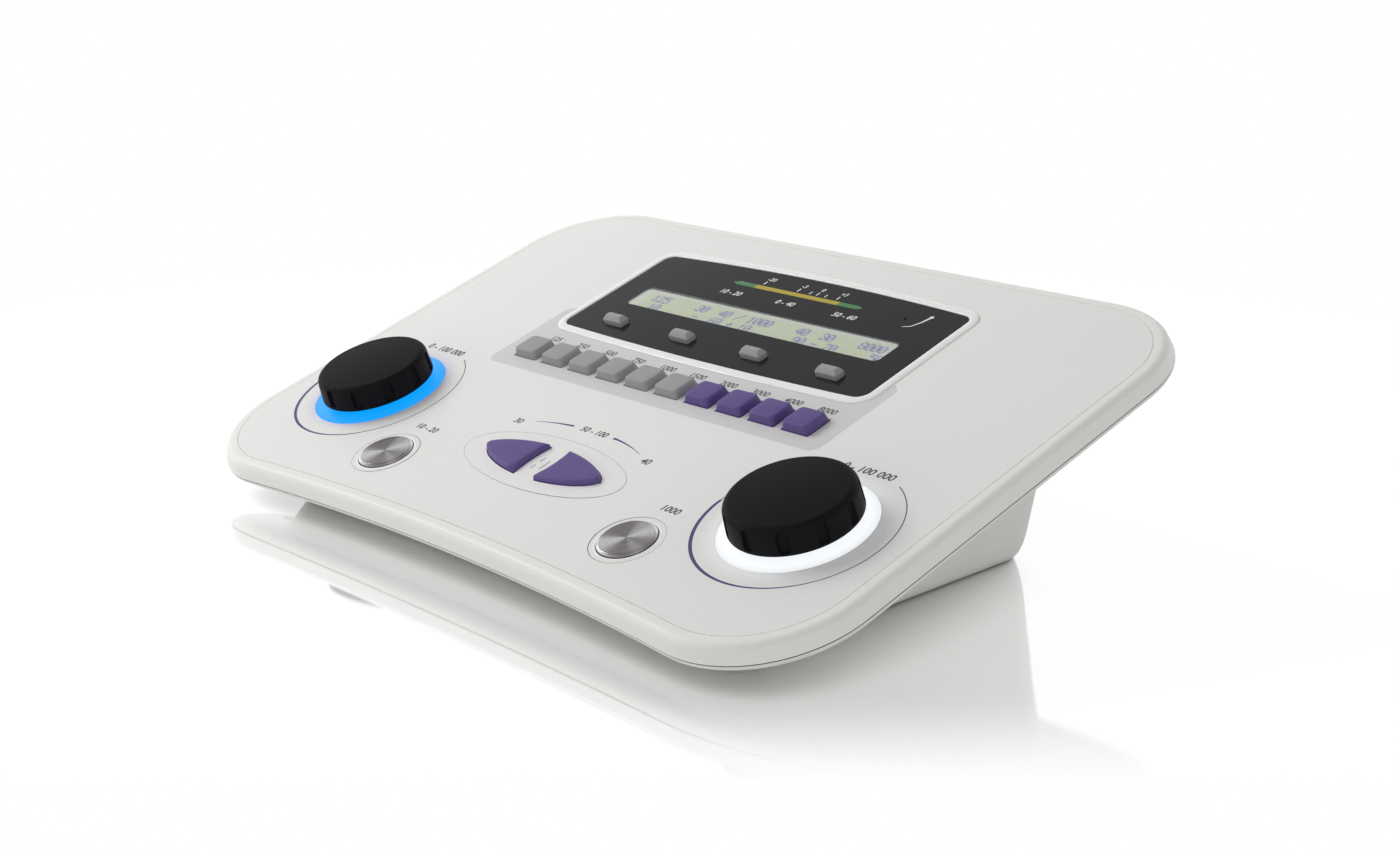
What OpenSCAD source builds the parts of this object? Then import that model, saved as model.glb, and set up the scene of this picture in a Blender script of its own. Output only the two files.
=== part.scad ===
// Two-channel desktop audiometer: a sloped control panel on a wedge base.
// Two frames are used. The body frame has +Z up, +Y to the back, and its origin under the middle.
// The panel frame lies in the panel face: its origin is midway between the two knobs,
// its y runs up the slope, and its height is measured square to the face.

/* [Housing outline] */
// Height of the panel face above the table at the knob row
knob_row_h = 30.7; // [30:0.1:32]
// Slope of the panel face, in degrees
panel_tilt = 18.7; // [17:0.1:20]
// Half width of the housing at its back corners
half_width_back = 135; // [133:0.5:140]
// Half width of the housing at its front corners
half_width_front = 133.6; // [131:0.2:136]
// Reach of the housing from the knob row to its back edge
back_reach = 130.5; // [128:0.5:136]
// Reach of the housing from the knob row to its front corners
front_reach = 52.6; // [51.6:0.2:56]
// How far the middle of the front edge is drawn back
front_bow = 4.3; // [1:0.1:5]
// Radius of the front corners, seen from above
front_corner_r = 34; // [26:1:38]
// Radius of the back corners, seen from above
back_corner_r = 34; // [26:1:38]

/* [Housing edge] */
// Radius of the soft edge round the panel face
edge_r = 2.6; // [1.6:0.1:3.4]
// How far the side leans out between the soft edge and the seam
side_lean = 0.8; // [0.2:0.1:1.6]
// Depth of the seam between the two shells below the panel face
seam_depth = 5; // [4.6:0.1:5.6]
// Width of the shadow gap at the seam
seam_gap = 0.3; // [0.15:0.05:0.5]
// Depth of the shadow gap at the seam
seam_groove = 0.8; // [0.4:0.1:1.4]
// Depth of the underside of the rim below the panel face
rim_depth = 8.2; // [8:0.1:9]
// Width of the rounding between the seam and the underside
rim_round = 6; // [4:0.5:8]
// Wall thickness of both shells
shell_wall = 2.5; // [2:0.1:2.8]
// Width of the rim on which the two shells meet
seam_land = 3.4; // [2.6:0.2:4.4]

/* [Base] */
// Half width of the base where it meets the rim's underside
base_top_half = 117; // [112:0.5:122]
// Half width of the base at the table, at its front
base_foot_front_half = 97; // [95:0.5:99]
// Half width of the base at the table, at its back
base_foot_half = 94; // [93:0.5:96]
// Front of the base under the rim, from the knob row along the panel
base_top_front = 41; // [38:0.5:41.5]
// Back of the base under the rim, from the knob row along the panel
base_top_back = 97; // [94:0.5:102]
// Front of the base at the table, from the knob row
base_foot_front = 28; // [26:0.5:30]
// Back of the base at the table, from the knob row
base_foot_back = 94; // [93.5:0.25:94.5]
// Corner radius of the base under the rim
base_top_r = 26; // [18:1:30]
// Corner radius of the base at the table
base_foot_r = 8; // [7:0.5:10]

/* [Panel overlay and bezel] */
// Distance from the seam outline to the edge of the printed overlay
overlay_inset = 5.2; // [4.8:0.1:7]
// Thickness of the overlay
overlay_t = 0.3; // [0.2:0.05:0.5]
// Half width of the dark display bezel
bezel_half = 66.5; // [64:0.5:69]
// Front corners of the bezel, from the knob row
bezel_front = 55.9; // [54.5:0.1:57]
// Back corners of the bezel, from the knob row
bezel_back = 106.4; // [104:0.2:109]
// How far the front edge of the bezel swells towards the user
bezel_front_bow = 1.4; // [0.6:0.1:2]
// How far the back edge of the bezel swells backwards
bezel_back_bow = 2.6; // [1:0.1:4]
// Corner radius of the bezel
bezel_r = 4; // [3:0.5:5]
// Thickness of the bezel
bezel_t = 1.5; // [1.2:0.1:1.8]
// Height of the bezel's face above the panel face
bezel_proud = 0.2; // [0.1:0.05:0.3]
// Width of the pale frame round the bezel
frame_w = 3.1; // [2:0.1:4]
// Height of the pale frame above the panel face
frame_h = 0.9; // [0.5:0.1:1.2]
// Width of the bezel's face beside the display window
window_side = 10.9; // [10.5:0.1:12.5]
// Front edge of the display window, from the knob row
window_front = 74.6; // [73:0.2:76]
// Back edge of the display window, from the knob row
window_back = 86; // [84:0.2:88]
// Corner radius of the display window
window_r = 2; // [1:0.25:3]
// Half length of the lit level bar
level_half = 28.3; // [24:0.5:32]
// Width of the lit level bar
level_w = 2; // [1.6:0.1:2.6]
// Place of the lit level bar, from the knob row
level_y = 99.1; // [97:0.2:101]

/* [Knobs] */
// Distance between the axes of the two knobs
knob_spacing = 188; // [184:1:192]
// Radius of a knob at its foot
knob_r = 18.3; // [16:0.1:20]
// Radius of a knob at the top of its side
knob_top_r = 18; // [15.8:0.1:19.8]
// Gap between the panel face and the foot of a knob
knob_lift = 2.2; // [1.8:0.1:4]
// Height of a knob's rim above the panel face
knob_rim_h = 10.1; // [9.4:0.1:13]
// Swell of a knob's top above its rim
knob_dome = 0.6; // [0.2:0.1:1.5]
// Width of a knob's rounded top edge
knob_round = 2.2; // [1.5:0.1:3.5]
// Number of finger notches round a knob
knob_notches = 11; // [8:1:16]
// Width of a finger notch
notch_w = 3; // [2.4:0.1:4.6]
// Depth of a finger notch
notch_depth = 0.6; // [0.4:0.1:1.2]
// Thickness of a knob's side wall
knob_wall = 2.2; // [1.8:0.1:3]
// Thickness of a knob's top
knob_roof = 2; // [1.4:0.1:2.6]
// Radius of a knob's hub
hub_r = 5.6; // [4.6:0.1:7]
// Radius of the encoder shaft
shaft_r = 3; // [2.4:0.1:3.4]
// Radius of the lit ring under a knob
ring_r = 21.6; // [20.6:0.1:23]
// Thickness of the lit ring
ring_t = 1.4; // [1:0.1:1.8]

/* [Keys] */
// Distance between neighbouring keys in the row of ten
key_pitch = 13.4; // [13:0.1:14]
// Width of a key
key_w = 10.4; // [9:0.1:10.8]
// Depth of a key from front to back
key_d = 9.6; // [8.6:0.1:10.4]
// Middle of the row of ten keys, from the knob row
key_row_y = 39.1; // [38:0.1:40]
// Height of a key above the panel face
key_h = 2.8; // [2.2:0.1:3.6]
// Travel of a key
key_travel = 1.2; // [0.8:0.1:1.5]
// Distance between neighbouring soft keys
soft_pitch = 31.6; // [28:0.2:33]
// Width of a soft key
soft_w = 9.4; // [8.6:0.1:10]
// Depth of a soft key from front to back
soft_d = 4.2; // [3.8:0.1:4.6]
// Middle of the soft key row, from the knob row
soft_row_y = 63.4; // [62.4:0.1:64]
// Height of a soft key above the panel face
soft_h = 3.2; // [2.6:0.1:4]
// Travel of a soft key
soft_travel = 1; // [0.8:0.1:1.3]
// Free edge round a soft key in its opening
soft_free = 0.8; // [0.4:0.1:1]

/* [Talkover and round buttons] */
// Half length of the leaf that the talkover pair forms
leaf_half = 25.4; // [24:0.2:27]
// Half width of the leaf at its middle
leaf_half_w = 7.5; // [6.6:0.1:8.4]
// Distance from the leaf's middle to the inner edge of each button
leaf_gap = 4.6; // [4.4:0.1:5.4]
// How far the inner edge of each button is hollowed
leaf_hollow = 0.8; // [0.3:0.1:1.4]
// Middle of the leaf, in front of the knob row
leaf_front = 8.8; // [8:0.1:10]
// Height of the talkover buttons above the panel face
leaf_h = 1.7; // [1.2:0.1:2.4]
// Travel of a talkover button
leaf_travel = 1; // [0.7:0.1:1.2]
// Distance from the middle to each round button
round_x = 55.6; // [54:0.2:58]
// Place of the round buttons, in front of the knob row
round_front = 25.7; // [24.6:0.1:27]
// Radius of a round button
round_r = 8.4; // [7.6:0.1:9]
// Height of a round button above the panel face
round_h = 0.9; // [0.7:0.1:1.4]
// Travel of a round button
round_travel = 0.6; // [0.4:0.1:0.6]

/* [Inside] */
// Depth of the main board's top below the panel face
board_depth = 9; // [8.6:0.1:9.2]
// Thickness of every board
board_t = 1.6; // [1.2:0.1:1.8]
// Half width of the main board
board_half = 106; // [105.4:0.2:107]
// Size of a push switch's square body
switch_w = 6; // [5:0.1:6.2]
// Height of a push switch's body
switch_h = 3.5; // [3:0.1:3.6]
// Height of a switch plunger above its body
plunger_h = 0.7; // [0.5:0.1:0.8]
// Radius of a switch plunger
plunger_r = 1.75; // [1.2:0.05:1.9]
// Depth of the display glass below the panel face
lcd_depth = 3.4; // [3.2:0.1:3.8]

/* [Rear sockets] */
// Back face of the socket plate, from the knob row
plate_back = 93.6; // [93.4:0.1:93.8]
// Thickness of the socket plate
plate_t = 2; // [1.6:0.1:2.2]
// Half width of the socket plate
plate_half = 84; // [82:0.5:86]
// Lower edge of the socket plate above the table
plate_low = 7; // [6.6:0.1:7.6]
// Upper edge of the socket plate above the table
plate_high = 30; // [28:0.5:32]
// Distance between neighbouring large sockets
jack_pitch = 22; // [20:0.5:23]
// Radius of a large socket's bore
jack_r = 3.2; // [3:0.05:3.4]
// Depth of a large socket's bore
jack_bore = 14; // [12:0.5:14]
// Radius of a small socket's bore
mini_r = 1.8; // [1.6:0.05:2]
// Depth of a small socket's bore
mini_bore = 11; // [9:0.5:12]
// Height of the socket axes above the table
socket_axis_h = 17.4; // [17:0.1:18.4]

/* [Fasteners and feet] */
// Shank radius of a housing screw
screw_r = 1.25; // [1:0.05:1.4]
// Head radius of a housing screw
screw_head_r = 2.3; // [2:0.1:2.6]
// Shank radius of a board screw
board_screw_r = 1; // [0.8:0.05:1.2]
// Radius of a rubber foot
foot_r = 6; // [5:0.25:7]
// How far a rubber foot stands out of the base
foot_proud = 0.4; // [0.3:0.05:0.8]
// Distance of the rubber feet from the middle
foot_x = 84; // [80:1:86]
// Place of the front feet in front of the knob row
foot_front = 17; // [16:1:19]
// Place of the back feet behind the knob row
foot_back = 62; // [58:1:66]

/* [Fits] */
// Free gap between a key or button and its opening
key_gap = 0.3; // [0.25:0.05:0.35]
// Gap between fixed pieces that are laid into each other
lay_gap = 0.1; // [0.05:0.05:0.15]
// Radial clearance of the encoder shaft in its bush
shaft_gap = 0.05; // [0.03:0.01:0.08]

/* [Hidden] */

// Colours of the real pieces
off_white = [0.89, 0.89, 0.87];
key_grey = [0.58, 0.58, 0.58];
key_purple = [0.34, 0.28, 0.5];
board_green = [0.1, 0.36, 0.2];
part_black = [0.1, 0.1, 0.11];
steel = [0.72, 0.72, 0.74];

eps = 0.01;
// How far a post runs into the wall that carries it
sunk = 0.5;
// Segments of a round corner, and of the bowed front edge
corner_n = 9;
front_n = 12;
// Gap kept between moving pieces that never touch
free = 0.3;
knob_x = knob_spacing / 2;

// ---------- outlines and lofts ----------

// An outline is [front half, back half, front y, back y, front r, back r, front bow, back bow].
// Positive front bow is hollow, positive back bow swells.
function arc(cx, cy, r, a0, a1) =
  [for (i = [0:corner_n]) let (a = a0 + (a1 - a0) * i / corner_n) [cx + r * cos(a), cy + r * sin(a)]];
function bow_edge(a, b, bow, n) =
  [for (i = [1:1:n - 1]) let (t = i / n)
    [a[0] + (b[0] - a[0]) * t, a[1] + (b[1] - a[1]) * t + bow * (1 - pow(2 * t - 1, 2))]];
function flip(p) = [for (i = [len(p) - 1:-1:0]) [-p[i][0], p[i][1]]];
function outline(s, inset = 0) =
  let (cf = [s[0] - s[4], s[2] + s[4]], cb = [s[1] - s[5], s[3] - s[5]],
       lean = atan2(s[1] - s[0], cb[1] - cf[1]),
       front_a = atan(2 * s[6] / cf[0]), back_a = atan(2 * s[7] / cb[0]),
       front = arc(cf[0], cf[1], s[4] - inset, -90 - front_a, -lean),
       back = arc(cb[0], cb[1], s[5] - inset, -lean, 90 - back_a),
       left_front = flip(front), left_back = flip(back), last = len(left_front) - 1)
  concat(bow_edge(left_front[last], front[0], s[6], front_n), front, back,
         bow_edge(back[len(back) - 1], left_back[0], s[7], s[7] == 0 ? 1 : front_n), left_back, left_front);

housing = [half_width_front, half_width_back, -front_reach, back_reach,
           front_corner_r, back_corner_r, front_bow, 0];
base_top = [base_top_half, base_top_half, -base_top_front, base_top_back,
            base_top_r, base_top_r, front_bow, 0];
base_foot = [base_foot_front_half, base_foot_half, -base_foot_front, base_foot_back,
             base_foot_r, base_foot_r, front_bow / 2, 0];
bezel = [bezel_half, bezel_half, bezel_front, bezel_back,
         bezel_r, bezel_r, -bezel_front_bow, bezel_back_bow];

// A closed solid through rings of equal length, listed from the lowest to the highest
module loft(rings) {
  n = len(rings[0]);
  m = len(rings);
  polyhedron(
    points = [for (r = rings) for (q = r) q],
    faces = concat(
      [[for (i = [0:n - 1]) i]],
      [[for (i = [n - 1:-1:0]) (m - 1) * n + i]],
      [for (k = [0:m - 2]) for (i = [0:n - 1]) [k * n + i, (k + 1) * n + i, (k + 1) * n + (i + 1) % n]],
      [for (k = [0:m - 2]) for (i = [0:n - 1]) [k * n + i, (k + 1) * n + (i + 1) % n, k * n + (i + 1) % n]]));
}
function lift(pts, h) = [for (q = pts) [q[0], q[1], h]];

// Panel frame to body frame
function world(q) = [q[0], q[1] * cos(panel_tilt) - q[2] * sin(panel_tilt) + shift_y,
                     q[1] * sin(panel_tilt) + q[2] * cos(panel_tilt) + knob_row_h];
module on_panel() {
  translate([0, shift_y, knob_row_h]) rotate([panel_tilt, 0, 0]) children();
}
module prism(pts, low, high) {
  translate([0, 0, low]) linear_extrude(high - low) polygon(pts);
}

// Upper shell edge, [inset, height], from the seam up to the flat face
edge_steps = concat([[0, -seam_depth]],
  [for (a = [75:-15:0]) [side_lean + edge_r * (1 - sin(a)), -edge_r * (1 - cos(a))]]);
// Lower shell edge, from the underside up to the seam
rim_h = rim_depth - seam_depth - seam_gap;
rim_steps = concat(
  [for (a = [0:18:90]) [rim_round * (1 - sin(a)), -rim_depth + rim_h * (1 - cos(a))]],
  [[seam_groove, -seam_depth - seam_gap], [seam_groove, -seam_depth]]);
edge_ys = [for (s = concat(edge_steps, rim_steps)) for (q = outline(housing, s[0]))
           q[1] * cos(panel_tilt) - s[1] * sin(panel_tilt)];
// Moves the origin under the middle of the whole housing
shift_y = -(min(edge_ys) + max(edge_ys)) / 2;

// Wall of the base, [share of the height, share of the way in], from the foot up to the rim
base_steps = [[1, 1.03], [0.99, 0.97], [0.93, 0.84], [0.84, 0.73], [0.68, 0.62], [0.5, 0.5],
              [0.3, 0.37], [0.15, 0.24], [0.05, 0.12]];
function base_ring(top, foot, step) = [for (i = [0:len(top) - 1])
  [top[i][0] + (foot[i][0] - top[i][0]) * step[1], top[i][1] + (foot[i][1] - top[i][1]) * step[1],
   top[i][2] + (foot[i][2] - top[i][2]) * step[0]]];
function foot_ring(inset, z) = [for (q = outline(base_foot, inset)) [q[0], q[1] + shift_y, z]];
function base_rings(inset, top_h, foot_z, skip) =
  let (top = [for (q = lift(outline(base_top, inset), top_h)) world(q)], foot = foot_ring(inset, foot_z))
  concat([for (i = [0:skip:len(base_steps) - 1]) base_ring(top, foot, base_steps[i])], [top]);

// ---------- places ----------

function key_x(i) = (i - 5.5) * key_pitch;
function soft_x(i) = (i - 2.5) * soft_pitch;
leaf_y = -leaf_front;
round_y = -round_front;
board_top = -board_depth;
plunger_top = board_top + switch_h + plunger_h;
ceiling = -shell_wall;
window_mid = (window_front + window_back) / 2;
// The lower end of each moving piece stops just above its switch
function stem_low(travel) = plunger_top + travel + lay_gap;
case_screw_places = [[121, -24], [-121, -24], [119, 104], [-119, 104], [45, 116], [-45, 116]];
board_post_places = [[76, -29], [-76, -29], [86, 40], [-86, 40], [20, 22], [-20, 22]];
window_half = bezel_half - window_side;
lcd_post_x = bezel_half - 3;
lcd_post_places = [for (y = [window_front - 1.6, window_back + 0.4]) for (s = [1, -1]) [s * lcd_post_x, y]];
post_r = 2.6;
socket_post_places = [[78.4, plate_back - 12], [-77.6, plate_back - 12]];
socket_board_top = socket_axis_h - 7.8;
base_floor = foot_proud + shell_wall;

module at_keys() { for (i = [1:10]) translate([key_x(i), key_row_y, 0]) children(); }
module at_soft_keys() { for (i = [1:4]) translate([soft_x(i), soft_row_y, 0]) children(); }
module at_knobs() { for (s = [-1, 1]) translate([s * knob_x, 0, 0]) children(); }
module at_rounds() { for (s = [-1, 1]) translate([s * round_x, round_y, 0]) children(); }

// ---------- shapes of the keys and buttons ----------

// Rounded rectangle about the origin, 16 points
function plaque(w, d, r) = [for (c = [0:3]) for (i = [0:3]) let (a = c * 90 + i * 30,
    sx = (c == 0 || c == 3) ? 1 : -1, sy = c < 2 ? 1 : -1)
  [sx * (w / 2 - r) + r * cos(a), sy * (d / 2 - r) + r * sin(a)]];
// A cap with tapered sides and a soft top edge, from low to high
module soft_cap(w, d, r, low, high, taper, round) {
  loft(concat(
    [lift(plaque(w, d, r), low), lift(plaque(w, d, r), 0)],
    [for (a = [0:30:60]) let (in = taper + round * (1 - cos(a)))
      lift(plaque(w - 2 * in, d - 2 * in, r), high - round * 0.8 * (1 - sin(a)))],
    [let (in = taper + round * 1.6) lift(plaque(w - 2 * in, d - 2 * in, r), high)]));
}
module key(i) {
  on_panel() translate([key_x(i), key_row_y, 0]) color(i < 7 ? key_grey : key_purple) {
    soft_cap(key_w, key_d, 1.1, ceiling - lay_gap - eps, key_h, 0.35, 0.9);
    translate([-(key_w + 1.4) / 2, -(key_d + 1.4) / 2, stem_low(key_travel)])
      cube([key_w + 1.4, key_d + 1.4, ceiling - lay_gap - stem_low(key_travel)]);
  }
}
bezel_low = bezel_proud - bezel_t;
module soft_key(i) {
  on_panel() translate([soft_x(i), soft_row_y, 0]) color(key_grey) {
    loft([lift(plaque(soft_w, soft_d, 0.5), bezel_low - lay_gap - eps),
          lift(plaque(soft_w, soft_d, 0.5), soft_h - 1.3),
          lift(plaque(soft_w - 0.4, soft_d - 0.4, 0.5), soft_h - 0.9),
          lift(plaque(soft_w - 2, soft_d - 1.9, 0.4), soft_h - 0.1),
          lift(plaque(soft_w - 2.6, soft_d - 2.4, 0.3), soft_h)]);
    translate([-soft_w / 2 - 1.4, -soft_d / 2 - 1.4, bezel_low - lay_gap - 0.7])
      cube([soft_w + 2.8, soft_d + 2.8, 0.7]);
    translate([0, 0, stem_low(soft_travel)])
      cylinder(r = 1.6, h = bezel_low - lay_gap - 0.6 - stem_low(soft_travel), $fn = 32);
  }
}
// One half of the leaf, side 1 for the right and -1 for the left, shrunk by inset
leaf_n = 9;
function leaf_edge(x) = leaf_half_w * pow(max(0, 1 - pow(x / leaf_half, 2)), 0.65);
function leaf_points(side, inset) =
  let (x0 = leaf_gap + inset, x1 = leaf_half - inset * 1.3,
       low = [for (i = [0:leaf_n]) let (t = i / leaf_n, x = x0 + (x1 - x0) * (1 - pow(1 - t, 1.6)))
              [x, -max(0, leaf_edge(x) - inset)]],
       edge = -low[0][1],
       inner = [for (i = [1:5]) let (t = i / 6)
                [x0 + leaf_hollow * (1 - pow(2 * t - 1, 2)), edge * (1 - 2 * t)]],
       right = concat([for (q = low) if (q[1] < -0.02) q], [[x1, 0]],
                      [for (i = [leaf_n:-1:0]) if (low[i][1] < -0.02) [low[i][0], -low[i][1]]], inner))
  side > 0 ? right : flip(right);
module leaf_cap(side, low, high) {
  round = 0.8;
  loft(concat(
    [lift(leaf_points(side, 0), low), lift(leaf_points(side, 0.1), high - round)],
    [for (a = [30:30:60]) lift(leaf_points(side, 0.1 + round * (1 - cos(a))), high - round * (1 - sin(a)))],
    [lift(leaf_points(side, 0.1 + round * 1.2), high)]));
}
module talkover_button(side) {
  color(key_purple) on_panel() translate([0, leaf_y, 0]) {
    leaf_cap(side, ceiling - lay_gap - eps, leaf_h);
    translate([0, 0, stem_low(leaf_travel)])
      linear_extrude(ceiling - lay_gap - stem_low(leaf_travel))
        polygon([for (q = leaf_points(side, 0)) [q[0] + side * (q[0] * side > 20 ? 0.6 : -0.6), q[1] * 1.08]]);
  }
}
module round_button(side) {
  bevel = 0.45;
  color(steel) on_panel() translate([side * round_x, round_y, 0]) rotate_extrude($fn = 96)
    polygon([[0, stem_low(round_travel)], [round_r + 0.8, stem_low(round_travel)],
             [round_r + 0.8, ceiling - lay_gap], [round_r, ceiling - lay_gap],
             [round_r, round_h - bevel], [round_r - bevel, round_h], [0, round_h]]);
}

// ---------- shells ----------

module top_housing() {
  color(off_white) on_panel() difference() {
    union() {
      difference() {
        loft([for (s = edge_steps) lift(outline(housing, s[0]), s[1])]);
        prism(outline(housing, seam_land), -seam_depth - 1, ceiling);
      }
      for (p = case_screw_places) translate([p[0], p[1], -seam_depth])
        cylinder(r = 3.4, h = seam_depth - shell_wall + sunk, $fn = 40);
      for (p = board_post_places) translate([p[0], p[1], board_top])
        cylinder(r = post_r, h = board_depth - shell_wall + sunk, $fn = 40);
      for (p = lcd_post_places) translate([p[0], p[1], lcd_board_top])
        cylinder(r = post_r, h = -lcd_board_top - shell_wall + sunk, $fn = 40);
    }
    // seat of the printed overlay
    prism(outline(housing, overlay_inset), -overlay_t, 1);
    // seat of the bezel, and the opening behind it
    prism(outline(bezel, -lay_gap), bezel_low, 1);
    translate([-bezel_half + 6, bezel_front + 2.4, ceiling - 1])
      cube([2 * bezel_half - 12, bezel_back - bezel_front - 5, 3]);
    // seats of the lit rings, and the light wells under them
    at_knobs() {
      translate([0, 0, -ring_t]) cylinder(r = ring_r + lay_gap, h = 3, $fn = 96);
      translate([0, 0, ceiling - 1]) cylinder(r = ring_r - 4, h = 3, $fn = 96);
    }
    at_keys() translate([-key_w / 2 - key_gap, -key_d / 2 - key_gap, ceiling - 1])
      cube([key_w + 2 * key_gap, key_d + 2 * key_gap, 5]);
    for (s = [-1, 1]) translate([0, leaf_y, 0]) prism(leaf_points(s, -key_gap), ceiling - 1, 1);
    at_rounds() translate([0, 0, ceiling - 1]) cylinder(r = round_r + key_gap, h = 5, $fn = 96);
    mic_slots();
    for (p = case_screw_places) translate([p[0], p[1], -seam_depth - 1])
      cylinder(r = screw_r + 0.03, h = seam_depth - 0.2, $fn = 32);
    for (p = board_post_places) translate([p[0], p[1], board_top - 1])
      cylinder(r = board_screw_r + 0.03, h = 5.6, $fn = 32);
    for (p = lcd_post_places) translate([p[0], p[1], lcd_board_top - 1])
      cylinder(r = board_screw_r + 0.03, h = 3.2, $fn = 32);
  }
}

// Three small slots over the talkback microphone
module mic_slots() {
  for (q = [[-1.7, -7.2, 2.2], [-1.7, -11, 2.2], [1.3, -9.2, 4.4]])
    translate([q[0] - 0.3, q[1] - q[2] / 2, ceiling - 1]) cube([0.6, q[2], 5]);
}

module bottom_housing() {
  color(off_white) difference() {
    union() {
      difference() {
        loft(concat(base_rings(0, -rim_depth - 0.1, foot_proud, 1),
                    [for (s = rim_steps) [for (q = lift(outline(housing, s[0]), s[1])) world(q)]]));
        loft(concat(base_rings(shell_wall, -rim_depth + 1.9, base_floor, 2),
                    [for (s = [[rim_round + 2, -rim_depth + 2], [seam_land, -rim_depth + 2.6],
                               [seam_land, -seam_depth + 1]])
                      [for (q = lift(outline(housing, s[0]), s[1])) world(q)]]));
      }
      on_panel() for (p = case_screw_places) translate([p[0], p[1], -rim_depth + 0.4])
        cylinder(r = 4, h = rim_depth - 0.4 - seam_depth, $fn = 40);
      for (p = socket_post_places) translate([p[0], p[1] + shift_y, base_floor - 1])
        cylinder(r = 3.4, h = socket_board_top - board_t - base_floor + 1, $fn = 40);
    }
    // opening for the socket plate
    translate([-plate_half - lay_gap, plate_back - plate_t - lay_gap + shift_y, plate_low - lay_gap])
      cube([2 * plate_half + 2 * lay_gap, 30, plate_high - plate_low + 2 * lay_gap]);
    on_panel() for (p = case_screw_places) {
      translate([p[0], p[1], -rim_depth - 2]) cylinder(r = screw_r + 0.15, h = 6, $fn = 32);
      translate([p[0], p[1], -rim_depth - 2]) cylinder(r = screw_head_r + 0.2, h = 3.4, $fn = 32);
    }
    for (p = socket_post_places) translate([p[0], p[1] + shift_y, socket_board_top - board_t - 4])
      cylinder(r = board_screw_r + 0.03, h = 5, $fn = 32);
    at_feet() translate([0, 0, -1]) cylinder(r = foot_r + lay_gap, h = 1 + foot_proud + 1, $fn = 64);
  }
}
module at_feet() {
  for (x = [-foot_x, foot_x]) for (y = [-foot_front, foot_back]) translate([x, y + shift_y, 0]) children();
}

// ---------- face pieces ----------

module overlay_panel() {
  color([0.87, 0.87, 0.85]) on_panel() difference() {
    prism(outline(housing, overlay_inset + lay_gap), -overlay_t, 0);
    prism(outline(bezel, -frame_w - lay_gap), -1, 1);
    at_knobs() translate([0, 0, -1]) cylinder(r = ring_r + lay_gap, h = 2, $fn = 96);
    at_keys() translate([-key_w / 2 - key_gap, -key_d / 2 - key_gap, -1])
      cube([key_w + 2 * key_gap, key_d + 2 * key_gap, 2]);
    for (s = [-1, 1]) translate([0, leaf_y, 0]) prism(leaf_points(s, -key_gap), -1, 1);
    at_rounds() translate([0, 0, -1]) cylinder(r = round_r + key_gap, h = 2, $fn = 96);
    mic_slots();
  }
}
module display_frame() {
  color([0.93, 0.93, 0.92]) on_panel() difference() {
    loft([for (s = [[-frame_w, -overlay_t], [-frame_w, 0.15], [-frame_w * 0.75, frame_h * 0.75],
                    [-frame_w * 0.4, frame_h], [-0.1, frame_h - 0.15]])
          lift(outline(bezel, s[0]), s[1])]);
    prism(outline(bezel, -lay_gap), -1, 2);
  }
}
module window_shape(grow, low, high) {
  translate([0, window_mid, 0])
    prism(plaque(2 * (window_half + grow), window_back - window_front + 2 * grow, window_r), low, high);
}
level_tip = level_w;
function level_points(grow) = let (a = level_half + grow, b = level_w / 2 + grow)
  [[-a + level_tip, -b], [a - level_tip, -b], [a, 0], [a - level_tip, b], [-a + level_tip, b], [-a, 0]];
module display_bezel() {
  color([0.24, 0.24, 0.27]) on_panel() difference() {
    prism(outline(bezel, 0), bezel_low, bezel_proud);
    window_shape(0, -5, 5);
    at_soft_keys() translate([-soft_w / 2 - soft_free, -soft_d / 2 - soft_free, -5])
      cube([soft_w + 2 * soft_free, soft_d + 2 * soft_free, 10]);
    translate([0, level_y, 0]) prism(level_points(lay_gap / 2), -5, 5);
  }
}
module display_window() {
  color([0.8, 0.85, 0.8, 0.4]) on_panel() window_shape(1.2, bezel_low - 0.9, bezel_low);
}
module level_light_bar() {
  color([0.7, 0.7, 0.25]) on_panel() translate([0, level_y, 0]) {
    prism(level_points(0), bezel_low, bezel_proud);
    translate([-level_half - 1, -level_w / 2 - 1, bezel_low - 1])
      cube([2 * level_half + 2, level_w + 2, 1]);
  }
}
lcd_frame_top = -lcd_depth + 0.6;
lcd_frame_low = lcd_frame_top - 3;
lcd_board_top = lcd_frame_low;
module lcd_frame() {
  color(steel) on_panel() difference() {
    window_shape(4, lcd_frame_low, lcd_frame_top);
    window_shape(0.8, -20, 0);
    window_shape(2.4, -20, -lcd_depth);
  }
}
module lcd_glass() {
  color([0.76, 0.8, 0.62]) on_panel() window_shape(2.3, lcd_frame_low, -lcd_depth);
}
module lcd_board() {
  color(board_green) on_panel() difference() {
    translate([-lcd_post_x - 4, window_front - 5.1, lcd_board_top - board_t])
      cube([2 * lcd_post_x + 8, window_back - window_front + 8.3, board_t]);
    for (p = lcd_post_places) translate([p[0], p[1], -30])
      cylinder(r = board_screw_r + 0.15, h = 30, $fn = 32);
  }
}

// ---------- knobs ----------

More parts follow.
